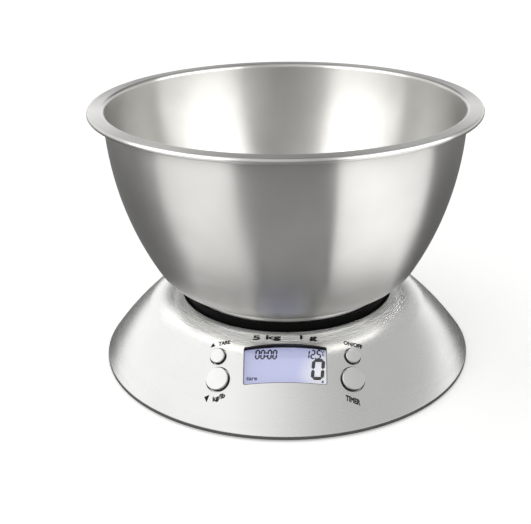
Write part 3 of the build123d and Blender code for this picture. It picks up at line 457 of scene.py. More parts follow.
class Finishes:
    """Every finish of the scale, made once and shared."""

    def __init__(self) -> None:
        """Build all materials."""
        made = (
            # Stainless sheet, spun and satin brushed: light drawn out into soft bands up the bowl.
            TurnedSteel("spun_satin_stainless", "#D0CFCC", 0.32, 0.04, 0.003, anisotropy=0.93),
            # Stainless sheet, pressed and polished: a paler, cleaner mirror with the faintest lines.
            TurnedSteel(
                "pressed_polished_stainless", "#E0E0DE", 0.27, 0.03, 0.0004, 0.5, 2.0, 0.25, 24.0, "#D8D8D6"
            ),
            # Moulded caps under satin chrome: smooth, pale and softly mirroring.
            PlatedMetal("satin_chrome_plate", "#E9E9E7", 0.24, 0.03, 0.002, 0.5, "#DEDEDC"),
            # Steel screws, zinc plated: a cool grey with a dull, uneven shine.
            PlatedMetal("zinc_plate", "#C9C9C6", 0.34, 0.08, 0.01),
            # Stamped contacts and springs, nickel plated: bright, with a warm cast.
            PlatedMetal("nickel_plate", "#CFC9BC", 0.25, 0.05, 0.006, 0.3, "#BDB7AA"),
            # Milled aluminium: pale and matt, with fine cutter marks.
            PlatedMetal("machined_aluminium", "#D2D4D6", 0.38, 0.08, 0.01, 0.3, "#C2C4C6"),
            # Moulded black platform, drawn blacker and duller than its plastic is: its own black, with
            # painted shade for the shade under the bowl.
            MouldedPlastic("soft_touch_black", "#040404", 0.6, 0.06, 0.004, 0.6, "#070707", shine=0.12),
            # ABS moulded in an etched tool: dark grey with a fine, dry texture.
            MouldedPlastic("textured_black_abs", "#1A1A1B", 0.55, 0.08, 0.02, 0.4, "#222223"),
            # Plain moulded ABS: an even matt black.
            MouldedPlastic("matt_black_liner", "#161617", 0.5, 0.06, 0.01),
            # Moulded rubber: dull and slightly dusty.
            MouldedPlastic("black_rubber", "#191918", 0.8, 0.08, 0.02, 0.6, "#232321", 1.52),
            # Silicone in conducting and insulating layers: dull, in a brownish pink.
            MouldedPlastic("contact_rubber", "#8A7470", 0.75, 0.08, 0.01, 0.3, "#5F504D", 1.45),
            # White moulded plastic: warm and half matt.
            MouldedPlastic("white_moulding", "#E4E2DC", 0.45, 0.06, 0.01, 0.4, "#D8D6CF"),
            # Milky acrylic: smooth, bright and slightly blue.
            MouldedPlastic("light_guide", "#F1F1F4", 0.3, 0.05, 0.004, 0.5, "#E6E6EC", 1.49),
            # Moulded epoxy round small components: black with a fine grit.
            MouldedPlastic("component_black", "#141415", 0.5, 0.08, 0.01, 0.2),
            # Polyimide film: a smooth, glossy amber.
            MouldedPlastic("gauge_film", "#B9802F", 0.35, 0.06, 0.004, 0.2, "#A26A20"),
            # Shrunk sleeve on a cell: plain, dark and glossy.
            MouldedPlastic("printed_sleeve", "#26282C", 0.3, 0.04, 0.004, 0.6, "#303238"),
            # Soft vinyl on a cable: mid grey and half matt.
            MouldedPlastic("grey_jacket", "#6E6E70", 0.5, 0.06, 0.01, 0.6, "#646466"),
            # Soft vinyl on a lead: red and half matt.
            MouldedPlastic("red_jacket", "#A01812", 0.45, 0.06, 0.01, 0.4, "#8C140F"),
            # Pad-printed ink: a flat, even black.
            MouldedPlastic("black_ink", "#0E0E0F", 0.5, 0.06, 0.002, 0.2, "#161618", shine=0.15),
            # Switched liquid crystal, large figures: nearly black with no shine of its own.
            MouldedPlastic("display_segment", "#0A0B14", 0.4, 0.04, 0.002, 0.3, "#0F101C", shine=0.05),
            # Switched liquid crystal, fine signs: a weaker blue grey.
            MouldedPlastic("display_sign", "#5B5F96", 0.4, 0.04, 0.002, 0.3, "#666AA2", shine=0.05),
            # Cast acrylic, polished: clear, with the faintest waves in what it mirrors.
            ClearAcrylic("clear_acrylic", "#FFFFFF", 0.03, 0.01, 0.001),
            # Display glass over a lit guide: lavender, and whitest next to the lamp, where the whitening is
            # partly a painted reflection.
            LitDisplay("lit_display", "#C0C4E8", 0.2, 0.03, 0.001, Window().lamp()),
            # Glass-fibre board under solder mask: half-gloss green with paler tracks.
            CircuitBoard("solder_mask", "#14522E", 0.4, 0.08, 0.01),
        )
        self.by_name = {finish.name: finish.material() for finish in made}

    def __getitem__(self, name: str) -> bpy.types.Material:
        """Material of a finish by its name."""
        return self.by_name[name]


def spread(start: float, end: float, steps: int) -> list[float]:
    """Even values from start to end, both included."""
    return [start + (end - start) * step / steps for step in range(steps + 1)]


def arc(centre: Point, radius: float, start: float, end: float, steps: int) -> list[Corner]:
    """Sharp corners along an arc.

    Args:
        centre: middle of the arc.
        radius: its radius.
        start: first angle, from the +X side towards +Y.
        end: last angle.
        steps: number of stretches.

    Returns:
        Corners with no rounding.
    """
    angles = spread(start, end, steps)
    return [(centre[0] + radius * cos(angle), centre[1] + radius * sin(angle), 0.0) for angle in angles]


def rounded(corners: Sequence[Corner], closed: bool) -> list[Point]:
    """Round the corners of a line, with a supporting point on either side of each round.

    Args:
        corners: points with the radius of their round, 0 for a sharp corner.
        closed: whether the last point joins the first.

    Returns:
        Points of the rounded line.
    """
    points: list[Point] = []
    count = len(corners)
    for place, (x, y, radius) in enumerate(corners):
        here = Vector((x, y))
        if radius == 0 or (not closed and place in (0, count - 1)):
            points.append((x, y))
            continue
        before = (Vector(corners[place - 1][:2]) - here).normalized()
        after = (Vector(corners[(place + 1) % count][:2]) - here).normalized()
        half = before.angle(after) / 2
        reach = radius / tan(half)
        middle = here + (before + after).normalized() * radius / sin(half)
        first = here + before * reach - middle
        last = here + after * reach - middle
        turn = first.angle_signed(last)
        points.append(tuple(here + before * (reach + SUPPORT)))
        for angle in spread(0, -turn, ROUND_STEPS):
            spoke = Matrix.Rotation(angle, 2) @ first
            points.append(tuple(middle + spoke))
        points.append(tuple(here + after * (reach + SUPPORT)))
    return points


def new_object(name: str, mesh: bpy.types.ID) -> bpy.types.Object:
    """Put a mesh, a text or a lamp in the scene.

    Args:
        name: name of the object.
        mesh: what the object holds.

    Returns:
        The new object.
    """
    piece = bpy.data.objects.new(name, mesh)
    bpy.context.scene.collection.objects.link(piece)
    return piece


def settled(piece: bpy.types.Object) -> bpy.types.Mesh:
    """Plain mesh of an object with its modifiers or text worked out."""
    depsgraph = bpy.context.evaluated_depsgraph_get()
    return bpy.data.meshes.new_from_object(piece.evaluated_get(depsgraph))


def discard(piece: bpy.types.Object) -> None:
    """Remove an object that was only needed for making another."""
    bpy.data.objects.remove(piece)


@contextmanager
def edited(mesh: bpy.types.Mesh) -> Iterator[bmesh.types.BMesh]:
    """Open a mesh for editing, and write it back at the end.

    Args:
        mesh: the mesh.

    Yields:
        The mesh in a form that can be edited.
    """
    work = bmesh.new()
    work.from_mesh(mesh)
    yield work
    work.to_mesh(mesh)
    work.free()


def tidy(mesh: bpy.types.Mesh) -> None:
    """Merge points that lie together and turn every face outwards.

    Args:
        mesh: a mesh in metres.
    """
    with edited(mesh) as work:
        bmesh.ops.remove_doubles(work, verts=work.verts, dist=MERGE * MM)
        bmesh.ops.recalc_face_normals(work, faces=work.faces)


def coat(mesh: bpy.types.Mesh, finish: bpy.types.Material) -> None:
    """Give a mesh one finish in place of those that it has."""
    mesh.materials.clear()
    mesh.materials.append(finish)


def dress(
    piece: bpy.types.Object, body: str, replaced: Iterable[str] = ()
) -> bpy.types.Object:
    """Hand a finished piece to the frame.

    Args:
        piece: the piece.
        body: the body that it rides on.
        replaced: CAD nodes that it stands for.

    Returns:
        The same piece.
    """
    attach(piece, body)
    if replaced:
        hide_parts(*replaced)
    log.info("%s rides on %s", piece.name, body)
    return piece


class Tree:
    """A Geometry Nodes tree with named inputs, run once on a mesh."""

    def __init__(self, name: str, inputs: dict[str, str]) -> None:
        """Make an empty tree.

        Args:
            name: name of the tree.
            inputs: kinds of its inputs, after the geometry, by name.
        """
        self.group = bpy.data.node_groups.new(name, "GeometryNodeTree")
        sockets = self.group.interface
        sockets.new_socket("Geometry", in_out="INPUT", socket_type="NodeSocketGeometry")
        for label, kind in inputs.items():
            sockets.new_socket(label, in_out="INPUT", socket_type=kind)
        sockets.new_socket("Geometry", in_out="OUTPUT", socket_type="NodeSocketGeometry")
        self.given = add_node(self.group, "NodeGroupInput").outputs

    def end(self, geometry: bpy.types.NodeSocket) -> None:
        """Close the tree: realise what it holds, smooth it and give it its finish.

        Args:
            geometry: what the tree has made.
        """
        real = add_node(self.group, "GeometryNodeRealizeInstances", inputs={"Geometry": geometry})
        smooth = add_node(
            self.group, "GeometryNodeSetShadeSmooth", inputs={"Geometry": real.outputs["Geometry"]}
        )
        finished = add_node(
            self.group,
            "GeometryNodeSetMaterial",
            inputs={"Geometry": smooth.outputs["Geometry"], "Material": self.given["Finish"]},
        )
        add_node(self.group, "NodeGroupOutput", inputs={"Geometry": finished.outputs["Geometry"]})

    def run(self, name: str, mesh: bpy.types.Mesh, values: dict[str, object]) -> bpy.types.Object:
        """Run the tree on a mesh.

        Args:
            name: name of the piece that comes out.
            mesh: the geometry that goes in.
            values: values of the other inputs by name.

        Returns:
            The piece, with a plain mesh.
        """
        piece = new_object(name, mesh)
        modifier = piece.modifiers.new(self.group.name, "NODES")
        modifier.node_group = self.group
        for socket in self.group.interface.items_tree:
            if socket.in_out == "INPUT" and socket.name in values:
                modifier[socket.identifier] = values[socket.name]
        made = settled(piece)
        piece.modifiers.clear()
        piece.data = made
        tidy(made)
        return piece


class Lathe:
    """Turns half sections about the Z axis."""

    SPINDLE = 1.0

    def __init__(self) -> None:
        """Build the tree: the section runs along a small circle round the axis."""
        self.tree = Tree("turning", {"Segments": "NodeSocketInt", "Finish": "NodeSocketMaterial"})
        group, given = self.tree.group, self.tree.given
        section = add_node(group, "GeometryNodeMeshToCurve", inputs={"Mesh": given["Geometry"]})
        path = add_node(
            group,
            "GeometryNodeCurvePrimitiveCircle",
            inputs={"Resolution": given["Segments"], "Radius": self.SPINDLE * MM},
        )
        swept = add_node(
            group,
            "GeometryNodeCurveToMesh",
            inputs={"Curve": path.outputs["Curve"], "Profile Curve": section.outputs["Curve"]},
        )
        merged = add_node(
            group,
            "GeometryNodeMergeByDistance",
            inputs={"Geometry": swept.outputs["Mesh"], "Distance": SWEEP_MERGE * MM},
        )
        self.tree.end(merged.outputs["Geometry"])

    def turn(
        self, name: str, section: Sequence[Point], closed: bool, finish: bpy.types.Material, segments: int
    ) -> bpy.types.Object:
        """Turn one half section.

        Args:
            name: name of the piece.
            section: radii and heights in millimetres.
            closed: whether the section's ends join away from the axis.
            finish: the piece's material.
            segments: number of flats round the axis.

        Returns:
            The turned piece.
        """
        mesh = bpy.data.meshes.new(name)
        points = [((radius - self.SPINDLE) * MM, -height * MM, 0) for radius, height in section]
        edges = [(place, place + 1) for place in range(len(points) - 1)]
        if closed:
            edges.append((len(points) - 1, 0))
        mesh.from_pydata(points, edges, [])
        return self.tree.run(name, mesh, {"Segments": segments, "Finish": finish})


@dataclass(frozen=True)
class Dome:
    """Outer face of the cover: two arcs that meet smoothly, round the platform's opening."""

    base_radius: float = 107.6
    hem_bottom: float = 1.0
    hem_top: float = 3.0
    opening_radius: float = 61.0
    land_width: float = 4.0
    rim_slope: float = radians(54.8)
    shoulder_slope: float = radians(41.7)
    shoulder_radius: float = 24.6
    arc_steps: int = 20

    @property
    def shoulder_x(self) -> float:
        """Radius where the level land ends."""
        return self.opening_radius + self.land_width

    @property
    def flank_radius(self) -> float:
        """Radius of the large arc."""
        span = self.shoulder_x + self.shoulder_radius * sin(self.shoulder_slope)
        return (self.base_radius - span) / (sin(self.rim_slope) - sin(self.shoulder_slope))

    @property
    def flank_centre(self) -> Point:
        """Middle of the large arc."""
        return (
            self.base_radius - self.flank_radius * sin(self.rim_slope),
            self.hem_top - self.flank_radius * cos(self.rim_slope),
        )

    @property
    def shoulder_centre(self) -> Point:
        """Middle of the small arc."""
        rise = (self.flank_radius - self.shoulder_radius) * cos(self.shoulder_slope)
        return (self.shoulder_x, self.flank_centre[1] + rise)

    @property
    def top(self) -> float:
        """Height of the level land."""
        return self.shoulder_centre[1] + self.shoulder_radius

    def flank_slope(self, radius: float) -> float:
        """Slope of the large arc at a radius."""
        return asin((radius - self.flank_centre[0]) / self.flank_radius)

    def slope(self, radius: float) -> float:
        """Slope of the face at a radius.

        Args:
            radius: distance from the axis in millimetres.

        Returns:
            The angle between the face and the level.
        """
        inside = radius - self.shoulder_x
        if inside <= 0:
            return 0.0
        small = asin(min(inside / self.shoulder_radius, 1.0))
        return small if small < self.shoulder_slope else self.flank_slope(radius)

    def height(self, radius: float) -> float:
        """Height of the face at a radius.

        Args:
            radius: distance from the axis in millimetres.

        Returns:
            The height in millimetres.
        """
        slope = self.slope(radius)
        if slope == 0:
            return self.top
        if slope < self.shoulder_slope:
            return self.shoulder_centre[1] + self.shoulder_radius * cos(slope)
        return self.flank_centre[1] + self.flank_radius * cos(slope)

    def normal(self, x: float, y: float) -> Vector:
        """Outward direction of the face.

        Args:
            x: place across, in millimetres.
            y: place in depth, in millimetres.

        Returns:
            A direction of length 1.
        """
        radius = hypot(x, y)
        slope = self.slope(radius)
        return Vector((sin(slope) * x / radius, sin(slope) * y / radius, cos(slope)))

    def arcs(self, inset: float) -> list[Corner]:
        """Section of the face from its rim up to the level land.

        Args:
            inset: distance under the outer face.

        Returns:
            Corners of the section.
        """
        flank = self.flank_radius - inset
        rim = QUARTER_TURN - asin((self.base_radius - inset - self.flank_centre[0]) / flank)
        seam = QUARTER_TURN - self.shoulder_slope
        shoulder = self.shoulder_radius - inset
        large = arc(self.flank_centre, flank, rim, seam, self.arc_steps)
        small = arc(self.shoulder_centre, shoulder, seam, QUARTER_TURN, self.arc_steps)
        return large + small[1:]


@dataclass(frozen=True)
class Window:
    """Display opening in the cover and the places behind it, in its own frame."""

    dome: Dome = Dome()
    radius: float = 82.9
    tilt: float = radians(38.0)
    width: float = 43.5
    height: float = 20.6
    head_arch: float = 1.8
    sill_arch: float = 0.5
    corner: float = 1.0
    lens_depth: float = 4.9
    glass_depth: float = 7.0
    lamp_place: Corner = (21.9, -3.0, -8.0)
    cut_above: float = 10.0
    arch_steps: int = 16

    def place(self) -> Matrix:
        """Frame of the window.

        Returns:
            X to the right, Y up the slope and Z outwards, in millimetres.
        """
        origin = (0, -self.radius, self.dome.height(self.radius))
        columns = ((1, 0, 0), (0, cos(self.tilt), sin(self.tilt)), (0, -sin(self.tilt), cos(self.tilt)))
        return Matrix.Translation(origin) @ Matrix(columns).transposed().to_4x4()

    def lamp(self) -> Corner:
        """Place of the display's lamp in millimetres."""
        return tuple(self.place() @ Vector(self.lamp_place))

    def outline(self) -> list[Point]:
        """Outline of the opening with its arched head and sill.

        Returns:
            Points in the window's frame, in millimetres.
        """
        half, head = self.width / 2, self.height / 2
        steps = spread(-half, half, self.arch_steps)
        sill = [(x, -head + self.sill_arch * (1 - (x / half) ** 2), 0.0) for x in steps]
        top = [(x, head + self.head_arch * (1 - (x / half) ** 2), 0.0) for x in reversed(steps)]
        ends = [(*sill[0][:2], self.corner), (*sill[-1][:2], self.corner)]
        tops = [(*top[0][:2], self.corner), (*top[-1][:2], self.corner)]
        return rounded([ends[0], *sill[1:-1], ends[1], tops[0], *top[1:-1], tops[1]], True)


def prism(outline: Sequence[Point], low: float, high: float, place: Matrix) -> bpy.types.Mesh:
    """Upright prism over an outline.

    Args:
        outline: points of the outline, in millimetres.
        low: lower end.
        high: upper end.
        place: frame that it stands in, in millimetres.

    Returns:
        A closed mesh in metres.
    """
    count = len(outline)
    points = [place @ Vector((x, y, level)) * MM for level in (low, high) for x, y in outline]
    faces = [tuple(reversed(range(count))), tuple(range(count, 2 * count))]
    for spot, after in zip(range(count), [*range(1, count), 0]):
        faces.append((spot, after, after + count, spot + count))
    mesh = bpy.data.meshes.new("prism")
    mesh.from_pydata(points, [], faces)
    return mesh


def joined(meshes: Iterable[bpy.types.Mesh]) -> bpy.types.Mesh:
    """One mesh from several, with its faces turned outwards.

    Args:
        meshes: closed meshes.

    Returns:
        A new mesh.
    """
    whole = bpy.data.meshes.new("joined")
    with edited(whole) as work:
        for mesh in meshes:
            work.from_mesh(mesh)
        bmesh.ops.recalc_face_normals(work, faces=work.faces)
    return whole


def cut_away(piece: bpy.types.Object, solids: Iterable[bpy.types.Mesh]) -> bpy.types.Mesh:
    """Cut solids out of a piece.

    Args:
        piece: what is cut.
        solids: closed meshes that are taken away.

    Returns:
        The piece's new mesh.
    """
    cutter = new_object("cutter", joined(solids))
    cut = piece.modifiers.new("openings", "BOOLEAN")
    cut.operation, cut.solver, cut.object = "DIFFERENCE", "EXACT", cutter
    mesh = settled(piece)
    piece.modifiers.clear()
    piece.data = mesh
    discard(cutter)
    return mesh


def circle(radius: float, steps: int) -> list[Point]:
    """Points of a circle about the origin."""
    angles = [FULL_TURN * step / steps for step in range(steps)]
    return [(radius * cos(angle), radius * sin(angle)) for angle in angles]


class Key(Enum):
    """The four keys: side, level on that side and radius of the cap."""

    TARE = (-1, 1, 4.0)
    UNIT = (-1, -1, 6.1)
    POWER = (1, 1, 4.0)
    TIMER = (1, -1, 6.1)


@dataclass(frozen=True)
class Keys:
    """Caps of the four keys.

    The gap round a cap is drawn 0.3 mm wider than the solids have it, so that it shows.
    """

    dome: Dome = Dome()
    radius: float = 87.1
    aside: float = 35.22
    spacing: float = 11.9
    stagger: float = 3.9
    gap: float = 0.7
    side_height: float = 1.8
    crown: float = 0.4
    edge_round: float = 0.4
    flange: float = 0.8
    flange_top: float = -2.5
    flange_bottom: float = -3.5
    stem_radius: float = 1.5
    stem_bottom: float = -4.5
    cut_below: float = -2.2
    cut_above: float = 10.0
    segments: int = 72
    face_steps: int = 14
    sharp_angle: float = radians(50)

    def place(self, key: Key) -> Matrix:
        """Frame of a key on its side's plane.

        Args:
            key: the key.

        Returns:
            Y up the slope and Z outwards, in millimetres.
        """
        side, level, _ = key.value
        azimuth = side * asin(self.aside / self.radius)
        slope = self.dome.slope(self.radius)
        across = Vector((cos(azimuth), sin(azimuth), 0))
        out = Vector((sin(slope) * sin(azimuth), -sin(slope) * cos(azimuth), cos(slope)))
        origin = Vector((self.radius * sin(azimuth), -self.radius * cos(azimuth), 0))
        origin.z = self.dome.height(self.radius)
        turn = Matrix((across, out.cross(across), out)).transposed().to_4x4()
        shift = Matrix.Translation((side * level * self.stagger / 2, level * self.spacing / 2, 0))
        return Matrix.Translation(origin) @ turn @ shift

    def hole(self, key: Key) -> bpy.types.Mesh:
        """Cutter of a key's hole in the cover."""
        outline = circle(key.value[2] + self.gap, self.segments)
        return prism(outline, self.cut_below, self.cut_above, self.place(key))

    def cap(self, key: Key) -> list[Point]:
        """Half section of a cap: a domed face, a flange and a stem.

        Args:
            key: the cap's key.

        Returns:
            Radii and heights over the cover's face.
        """
        radius = key.value[2]
        sphere = (radius**2 + self.crown**2) / (2 * self.crown)
        top = self.side_height + self.crown
        lean = asin(radius / sphere)
        face = arc((0, top - sphere), sphere, QUARTER_TURN, QUARTER_TURN - lean, self.face_steps)
        edge = (*face[-1][:2], self.edge_round)
        rest = [
            (radius, self.flange_top, 0.0),
            (radius + self.flange, self.flange_top, 0.0),
            (radius + self.flange, self.flange_bottom, 0.0),
            (self.stem_radius, self.flange_bottom, 0.0),
            (self.stem_radius, self.stem_bottom, 0.0),
            (0.0, self.stem_bottom, 0.0),
        ]
        return rounded([*face[:-1], edge, *rest], False)

    def build(self, lathe: Lathe, finishes: Finishes) -> None:
        """Turn the four caps and set each on its key.

        Args:
            lathe: what turns them.
            finishes: the finishes to choose from.
        """
        finish = finishes["satin_chrome_plate"]
        for key in Key:
            name = key.name.lower()
            cap = lathe.turn(f"{name}_cap", self.cap(key), False, finish, self.segments)
            place = self.place(key)
            place.translation *= MM
            cap.data.transform(place)
            cap.data.set_sharp_from_angle(angle=self.sharp_angle)
            dress(cap, f"{name}_key", [f"{name}_button"])


@dataclass(frozen=True)
class Cover:
    """Pressed steel dome with a turned-in hem, a collar and its openings."""

    dome: Dome = Dome()
    window: Window = Window()
    keys: Keys = Keys()
    sheet: float = 0.8
    hem_lip: float = 1.8
    hem_round: float = 1.2
    hem_edge: float = 0.3
    collar_depth: float = 3.0
    collar_round: float = 1.0
    segments: int = 320
    sharp_angle: float = radians(40)
    face_start: float = 2.0
    face_end: float = 1.5
    face_near: float = 0.02
    face_agree: float = 0.9

    def section(self) -> list[Point]:
        """Closed half section of the sheet.

        Returns:
            Radii and heights in millimetres.
        """
        dome = self.dome
        lip = dome.base_radius - self.sheet - self.hem_lip
        lip_top = dome.hem_bottom + self.sheet
        outer = dome.arcs(0)
        inner = list(reversed(dome.arcs(self.sheet)))
        collar_outer = dome.opening_radius + self.sheet
        collar_foot = dome.top - self.collar_depth
        line = [
            (lip, dome.hem_bottom, 0.0),
            (dome.base_radius, dome.hem_bottom, self.hem_edge),
            (dome.base_radius, dome.hem_top, self.hem_round),
            *outer[1:],
            (dome.opening_radius, dome.top, self.collar_round),
            (dome.opening_radius, collar_foot, 0.0),
            (collar_outer, collar_foot, 0.0),
            (collar_outer, dome.top - self.sheet, 0.0),
            *inner,
            (dome.base_radius - self.sheet, lip_top, 0.0),
            (lip, lip_top, 0.0),
        ]
        return rounded(line, True)

    def smooth_face(self, mesh: bpy.types.Mesh) -> None:
        """Give the outer face the true directions of its arcs, so that reflections run clean.

        Args:
            mesh: the cover's mesh.
        """
        mesh.set_sharp_from_angle(angle=self.sharp_angle)
        normals = [Vector()] * len(mesh.loops)
        inner, outer = self.dome.shoulder_x - self.face_start, self.dome.base_radius - self.face_end
        for polygon in mesh.polygons:
            for loop in polygon.loop_indices:
                x, y, z = mesh.vertices[mesh.loops[loop].vertex_index].co / MM
                radius = hypot(x, y)
                if not inner < radius < outer:
                    continue
                true = self.dome.normal(x, y)
                on_face = abs(z - self.dome.height(radius)) < self.face_near
                if on_face and polygon.normal.dot(true) > self.face_agree:
                    normals[loop] = true
        mesh.normals_split_custom_set(normals)

    def build(self, lathe: Lathe, finishes: Finishes) -> bpy.types.Object:
        """Turn the dome, and cut the window and the key holes.

        Args:
            lathe: what turns it.
            finishes: the finishes to choose from.

        Returns:
            The cover, for its light.
        """
        finish = finishes["pressed_polished_stainless"]
        cover = lathe.turn("cover_sheet", self.section(), True, finish, self.segments)
        window = self.window
        slab = prism(window.outline(), -window.lens_depth, window.cut_above, window.place())
        mesh = cut_away(cover, [slab, *(self.keys.hole(key) for key in Key)])
        coat(mesh, finish)
        self.smooth_face(mesh)
        return dress(cover, Body.BASE.value, ["top_cover"])


@dataclass(frozen=True)
class ShadeTrim:
    """Thin black trim along the cut edge of the window: painted shade, which darkens the edge as the shadow
    in the cut does.
    """

    window: Window = Window()
    thickness: float = 0.25
    depth: float = 1.3
    shy: float = 0.06
    bite: float = 0.02
    rounds: int = 8

    def level(self, x: float, y: float) -> float:
        """Height of the cover's face over a place in the window's frame, found step by step.

        Args:
            x: place across the window.
            y: place up the window.

        Returns:
            The height in millimetres.
        """
        level = 0.0
        for _ in range(self.rounds):
            spot = self.window.place() @ Vector((x, y, level))
            level += (self.window.dome.height(hypot(spot.x, spot.y)) - spot.z) * cos(self.window.tilt)
        return level

    def ring(self, inset: float) -> list[Point]:
        """Outline of the window moved inwards.

        Args:
            inset: how far it moves.

        Returns:
            Points in the window's frame.
        """
        line = [Vector(point) for point in self.window.outline()]
        moved: list[Point] = []
        for place, here in enumerate(line):
            along = (line[(place + 1) % len(line)] - line[place - 1]).normalized()
            moved.append((here.x - along.y * inset, here.y + along.x * inset))
        return moved

    def build(self, finishes: Finishes) -> None:
        """Make the trim, which follows the cover's face just under it.

        Args:
            finishes: the finishes to choose from.
        """
        place = self.window.place()
        upper, lower = self.shy, self.shy + self.depth
        outside, inside = self.ring(-self.bite), self.ring(self.thickness)
        loops = []
        for ring, drop in ((outside, upper), (inside, upper), (inside, lower), (outside, lower)):
            line = [(x, y, self.level(x, y) - drop) for x, y in ring]
            loops.append([place @ Vector(point) * MM for point in line])
        count, turns = len(loops[0]), len(loops)
        points = [point for loop in loops for point in loop]
        faces = [
            (turn * count + spot, turn * count + after, ahead * count + after, ahead * count + spot)
            for turn, ahead in zip(range(turns), [*range(1, turns), 0])
            for spot, after in zip(range(count), [*range(1, count), 0])
        ]
        mesh = bpy.data.meshes.new("window_trim")
        mesh.from_pydata(points, [], faces)
        tidy(mesh)
        # The black trim is painted shade: it stands for the shadow in the window's cut edge.
        coat(mesh, finishes["matt_black_liner"])
        dress(new_object("window_trim", mesh), Body.BASE.value)


@dataclass(frozen=True)
class Bowl:
    """Spun bowl of one sheet: a stepped foot, a flat flange and a rolled edge."""

    seat: float = Dome().top + 3.4
    height: float = 107.1
    rim_radius: float = 107.5
    flange: float = 8.5
    flank_radius: float = 176.0
    heel_radius: float = 27.0
    heel_rise: float = 3.1
    foot_radius: float = 58.5
    foot_round: float = 1.5
    step_round: float = 1.0
    neck_drop: float = 3.0
    neck_round: float = 1.2
    curl_radius: float = 1.5
    sheet: float = 0.8
    segments: int = 288
    heel_steps: int = 24
    heel_skip: int = 3
    flank_steps: int = 48
    curl_steps: int = 30
    curl_inner_steps: int = 20

    def side(self, inset: float) -> list[Corner]:
        """Section of one face, from the bowl's middle up to the flange.

        Args:
            inset: distance from the outer face.

        Returns:
            Corners with their rounds.
        """
        top = self.seat + self.height
        neck = top - self.neck_drop
        wall = self.rim_radius - self.flange
        heel_z = self.seat + self.heel_rise + self.heel_radius
        reach = self.flank_radius - self.heel_radius
        turn = acos((neck - heel_z) / reach)
        flank_x = wall - self.flank_radius
        heel_x = flank_x + reach * sin(turn)
        foot = self.foot_radius - inset
        heel = self.heel_radius - inset
        seam = asin((foot - heel_x) / heel)
        start, join = seam - QUARTER_TURN, turn - QUARTER_TURN
        lower = arc((heel_x, heel_z), heel, start, join, self.heel_steps)
        upper = arc((flank_x, neck), self.flank_radius - inset, join, 0, self.flank_steps)
        foot_round = self.foot_round - inset
        return [
            (0.0, self.seat + inset, 0.0),
            (foot / 2, self.seat + inset, 0.0),
            (foot, self.seat + inset, foot_round),
            (*lower[0][:2], self.step_round + inset),
            *lower[self.heel_skip :],
            *upper[1:],
            (wall - inset, top - self.sheet + inset, self.neck_round + inset),
        ]

    def section(self) -> list[Point]:
        """Half section from the middle of the inside, over the rolled edge, to the middle of the foot.

        Returns:
            Radii and heights in millimetres.
        """
        top = self.seat + self.height
        curl = (self.rim_radius - self.curl_radius, top - self.curl_radius)
        roll = arc(curl, self.curl_radius, QUARTER_TURN, -pi, self.curl_steps)
        back = arc(curl, self.curl_radius - self.sheet, -pi, QUARTER_TURN, self.curl_inner_steps)
        support = [(roll[0][0] - SUPPORT, top, 0.0)]
        under = [(roll[0][0] - SUPPORT, top - self.sheet, 0.0)]
        outer = list(reversed(self.side(0.0)))
        return rounded([*self.side(self.sheet), *support, *roll, *back, *under, *outer], False)

    def build(self, lathe: Lathe, finishes: Finishes) -> bpy.types.Object:
        """Turn the bowl.

        Args:
            lathe: what turns it.
            finishes: the finishes to choose from.

        Returns:
            The bowl, for its lights.
        """
        finish = finishes["spun_satin_stainless"]
        bowl = lathe.turn("bowl_shell", self.section(), False, finish, self.segments)
        return dress(bowl, Body.BOWL.value, ["bowl"])


@dataclass(frozen=True)
class Sign:
    """One printed or lit sign: its words, the middle and size of its box, and how much bolder it is.

    The boldness is a share of the height.
    """

    words: str
    x: float
    y: float
    width: float
    height: float
    bold: float = 0.065

    @property
    def growth(self) -> float:
        """How far the letters' edges move outward, in millimetres."""
        return self.bold * self.height


def cleaned(work: bmesh.types.BMesh) -> None:
    """Merge points of a flat shape that lie nearer than the least edge, and drop empty faces."""
    bmesh.ops.remove_doubles(work, verts=work.verts, dist=LEAST_EDGE)
    bmesh.ops.dissolve_degenerate(work, dist=LEAST_EDGE, edges=work.edges)


def word_mesh(sign: Sign) -> bpy.types.Mesh:
    """Flat thin letters of a sign, drawn in its box with room for their growth.

    Args:
        sign: what to draw.

    Returns:
        A flat mesh in millimetres.
    """
    curve = bpy.data.curves.new("letters", "FONT")
    curve.body = sign.words
    curve.extrude = LETTER_DEPTH
    curve.resolution_u = LETTER_STEPS
    piece = new_object("letters", curve)
    mesh = settled(piece)
    discard(piece)
    with edited(mesh) as work:
        front = max(vertex.co.z for vertex in work.verts) / 2
        rest = [face for face in work.faces if face.calc_center_median().z < front]
        bmesh.ops.delete(work, geom=rest, context="FACES")
        xs = [vertex.co.x for vertex in work.verts]
        ys = [vertex.co.y for vertex in work.verts]
        wide = (sign.width - 2 * sign.growth) / (max(xs) - min(xs))
        high = (sign.height - 2 * sign.growth) / (max(ys) - min(ys))
        for vertex in work.verts:
            x = sign.x + (vertex.co.x - (max(xs) + min(xs)) / 2) * wide
            y = sign.y + (vertex.co.y - (max(ys) + min(ys)) / 2) * high
            vertex.co = (x, y, 0)
        cleaned(work)
    return mesh


def flat_mesh(outline: Sequence[Point]) -> bpy.types.Mesh:
    """Flat shape of an outline.

    Args:
        outline: points of the outline, in millimetres.

    Returns:
        A flat mesh of one face.
    """
    mesh = bpy.data.meshes.new("flat")
    mesh.from_pydata([(*point, 0) for point in outline], [], [tuple(range(len(outline)))])
    return mesh


def grow(points: Sequence[Vector], rim: Sequence[tuple[int, int]], growth: float) -> None:
    """Move the points on the rim of a flat shape outward.

    Args:
        points: the shape's points.
        rim: edges of the rim, with the shape on their left.
        growth: how far each edge moves.
    """
    outward: dict[int, list[Vector]] = {}
    for start, end in rim:
        along = (points[end] - points[start]).normalized()
        for spot in (start, end):
            outward.setdefault(spot, []).append(Vector((along.y, -along.x, 0)))
    for spot, ways in outward.items():
        mitre = max(LEAST_MITRE, 1 + ways[0].dot(ways[-1]))
        points[spot] += (ways[0] + ways[-1]) * growth / mitre


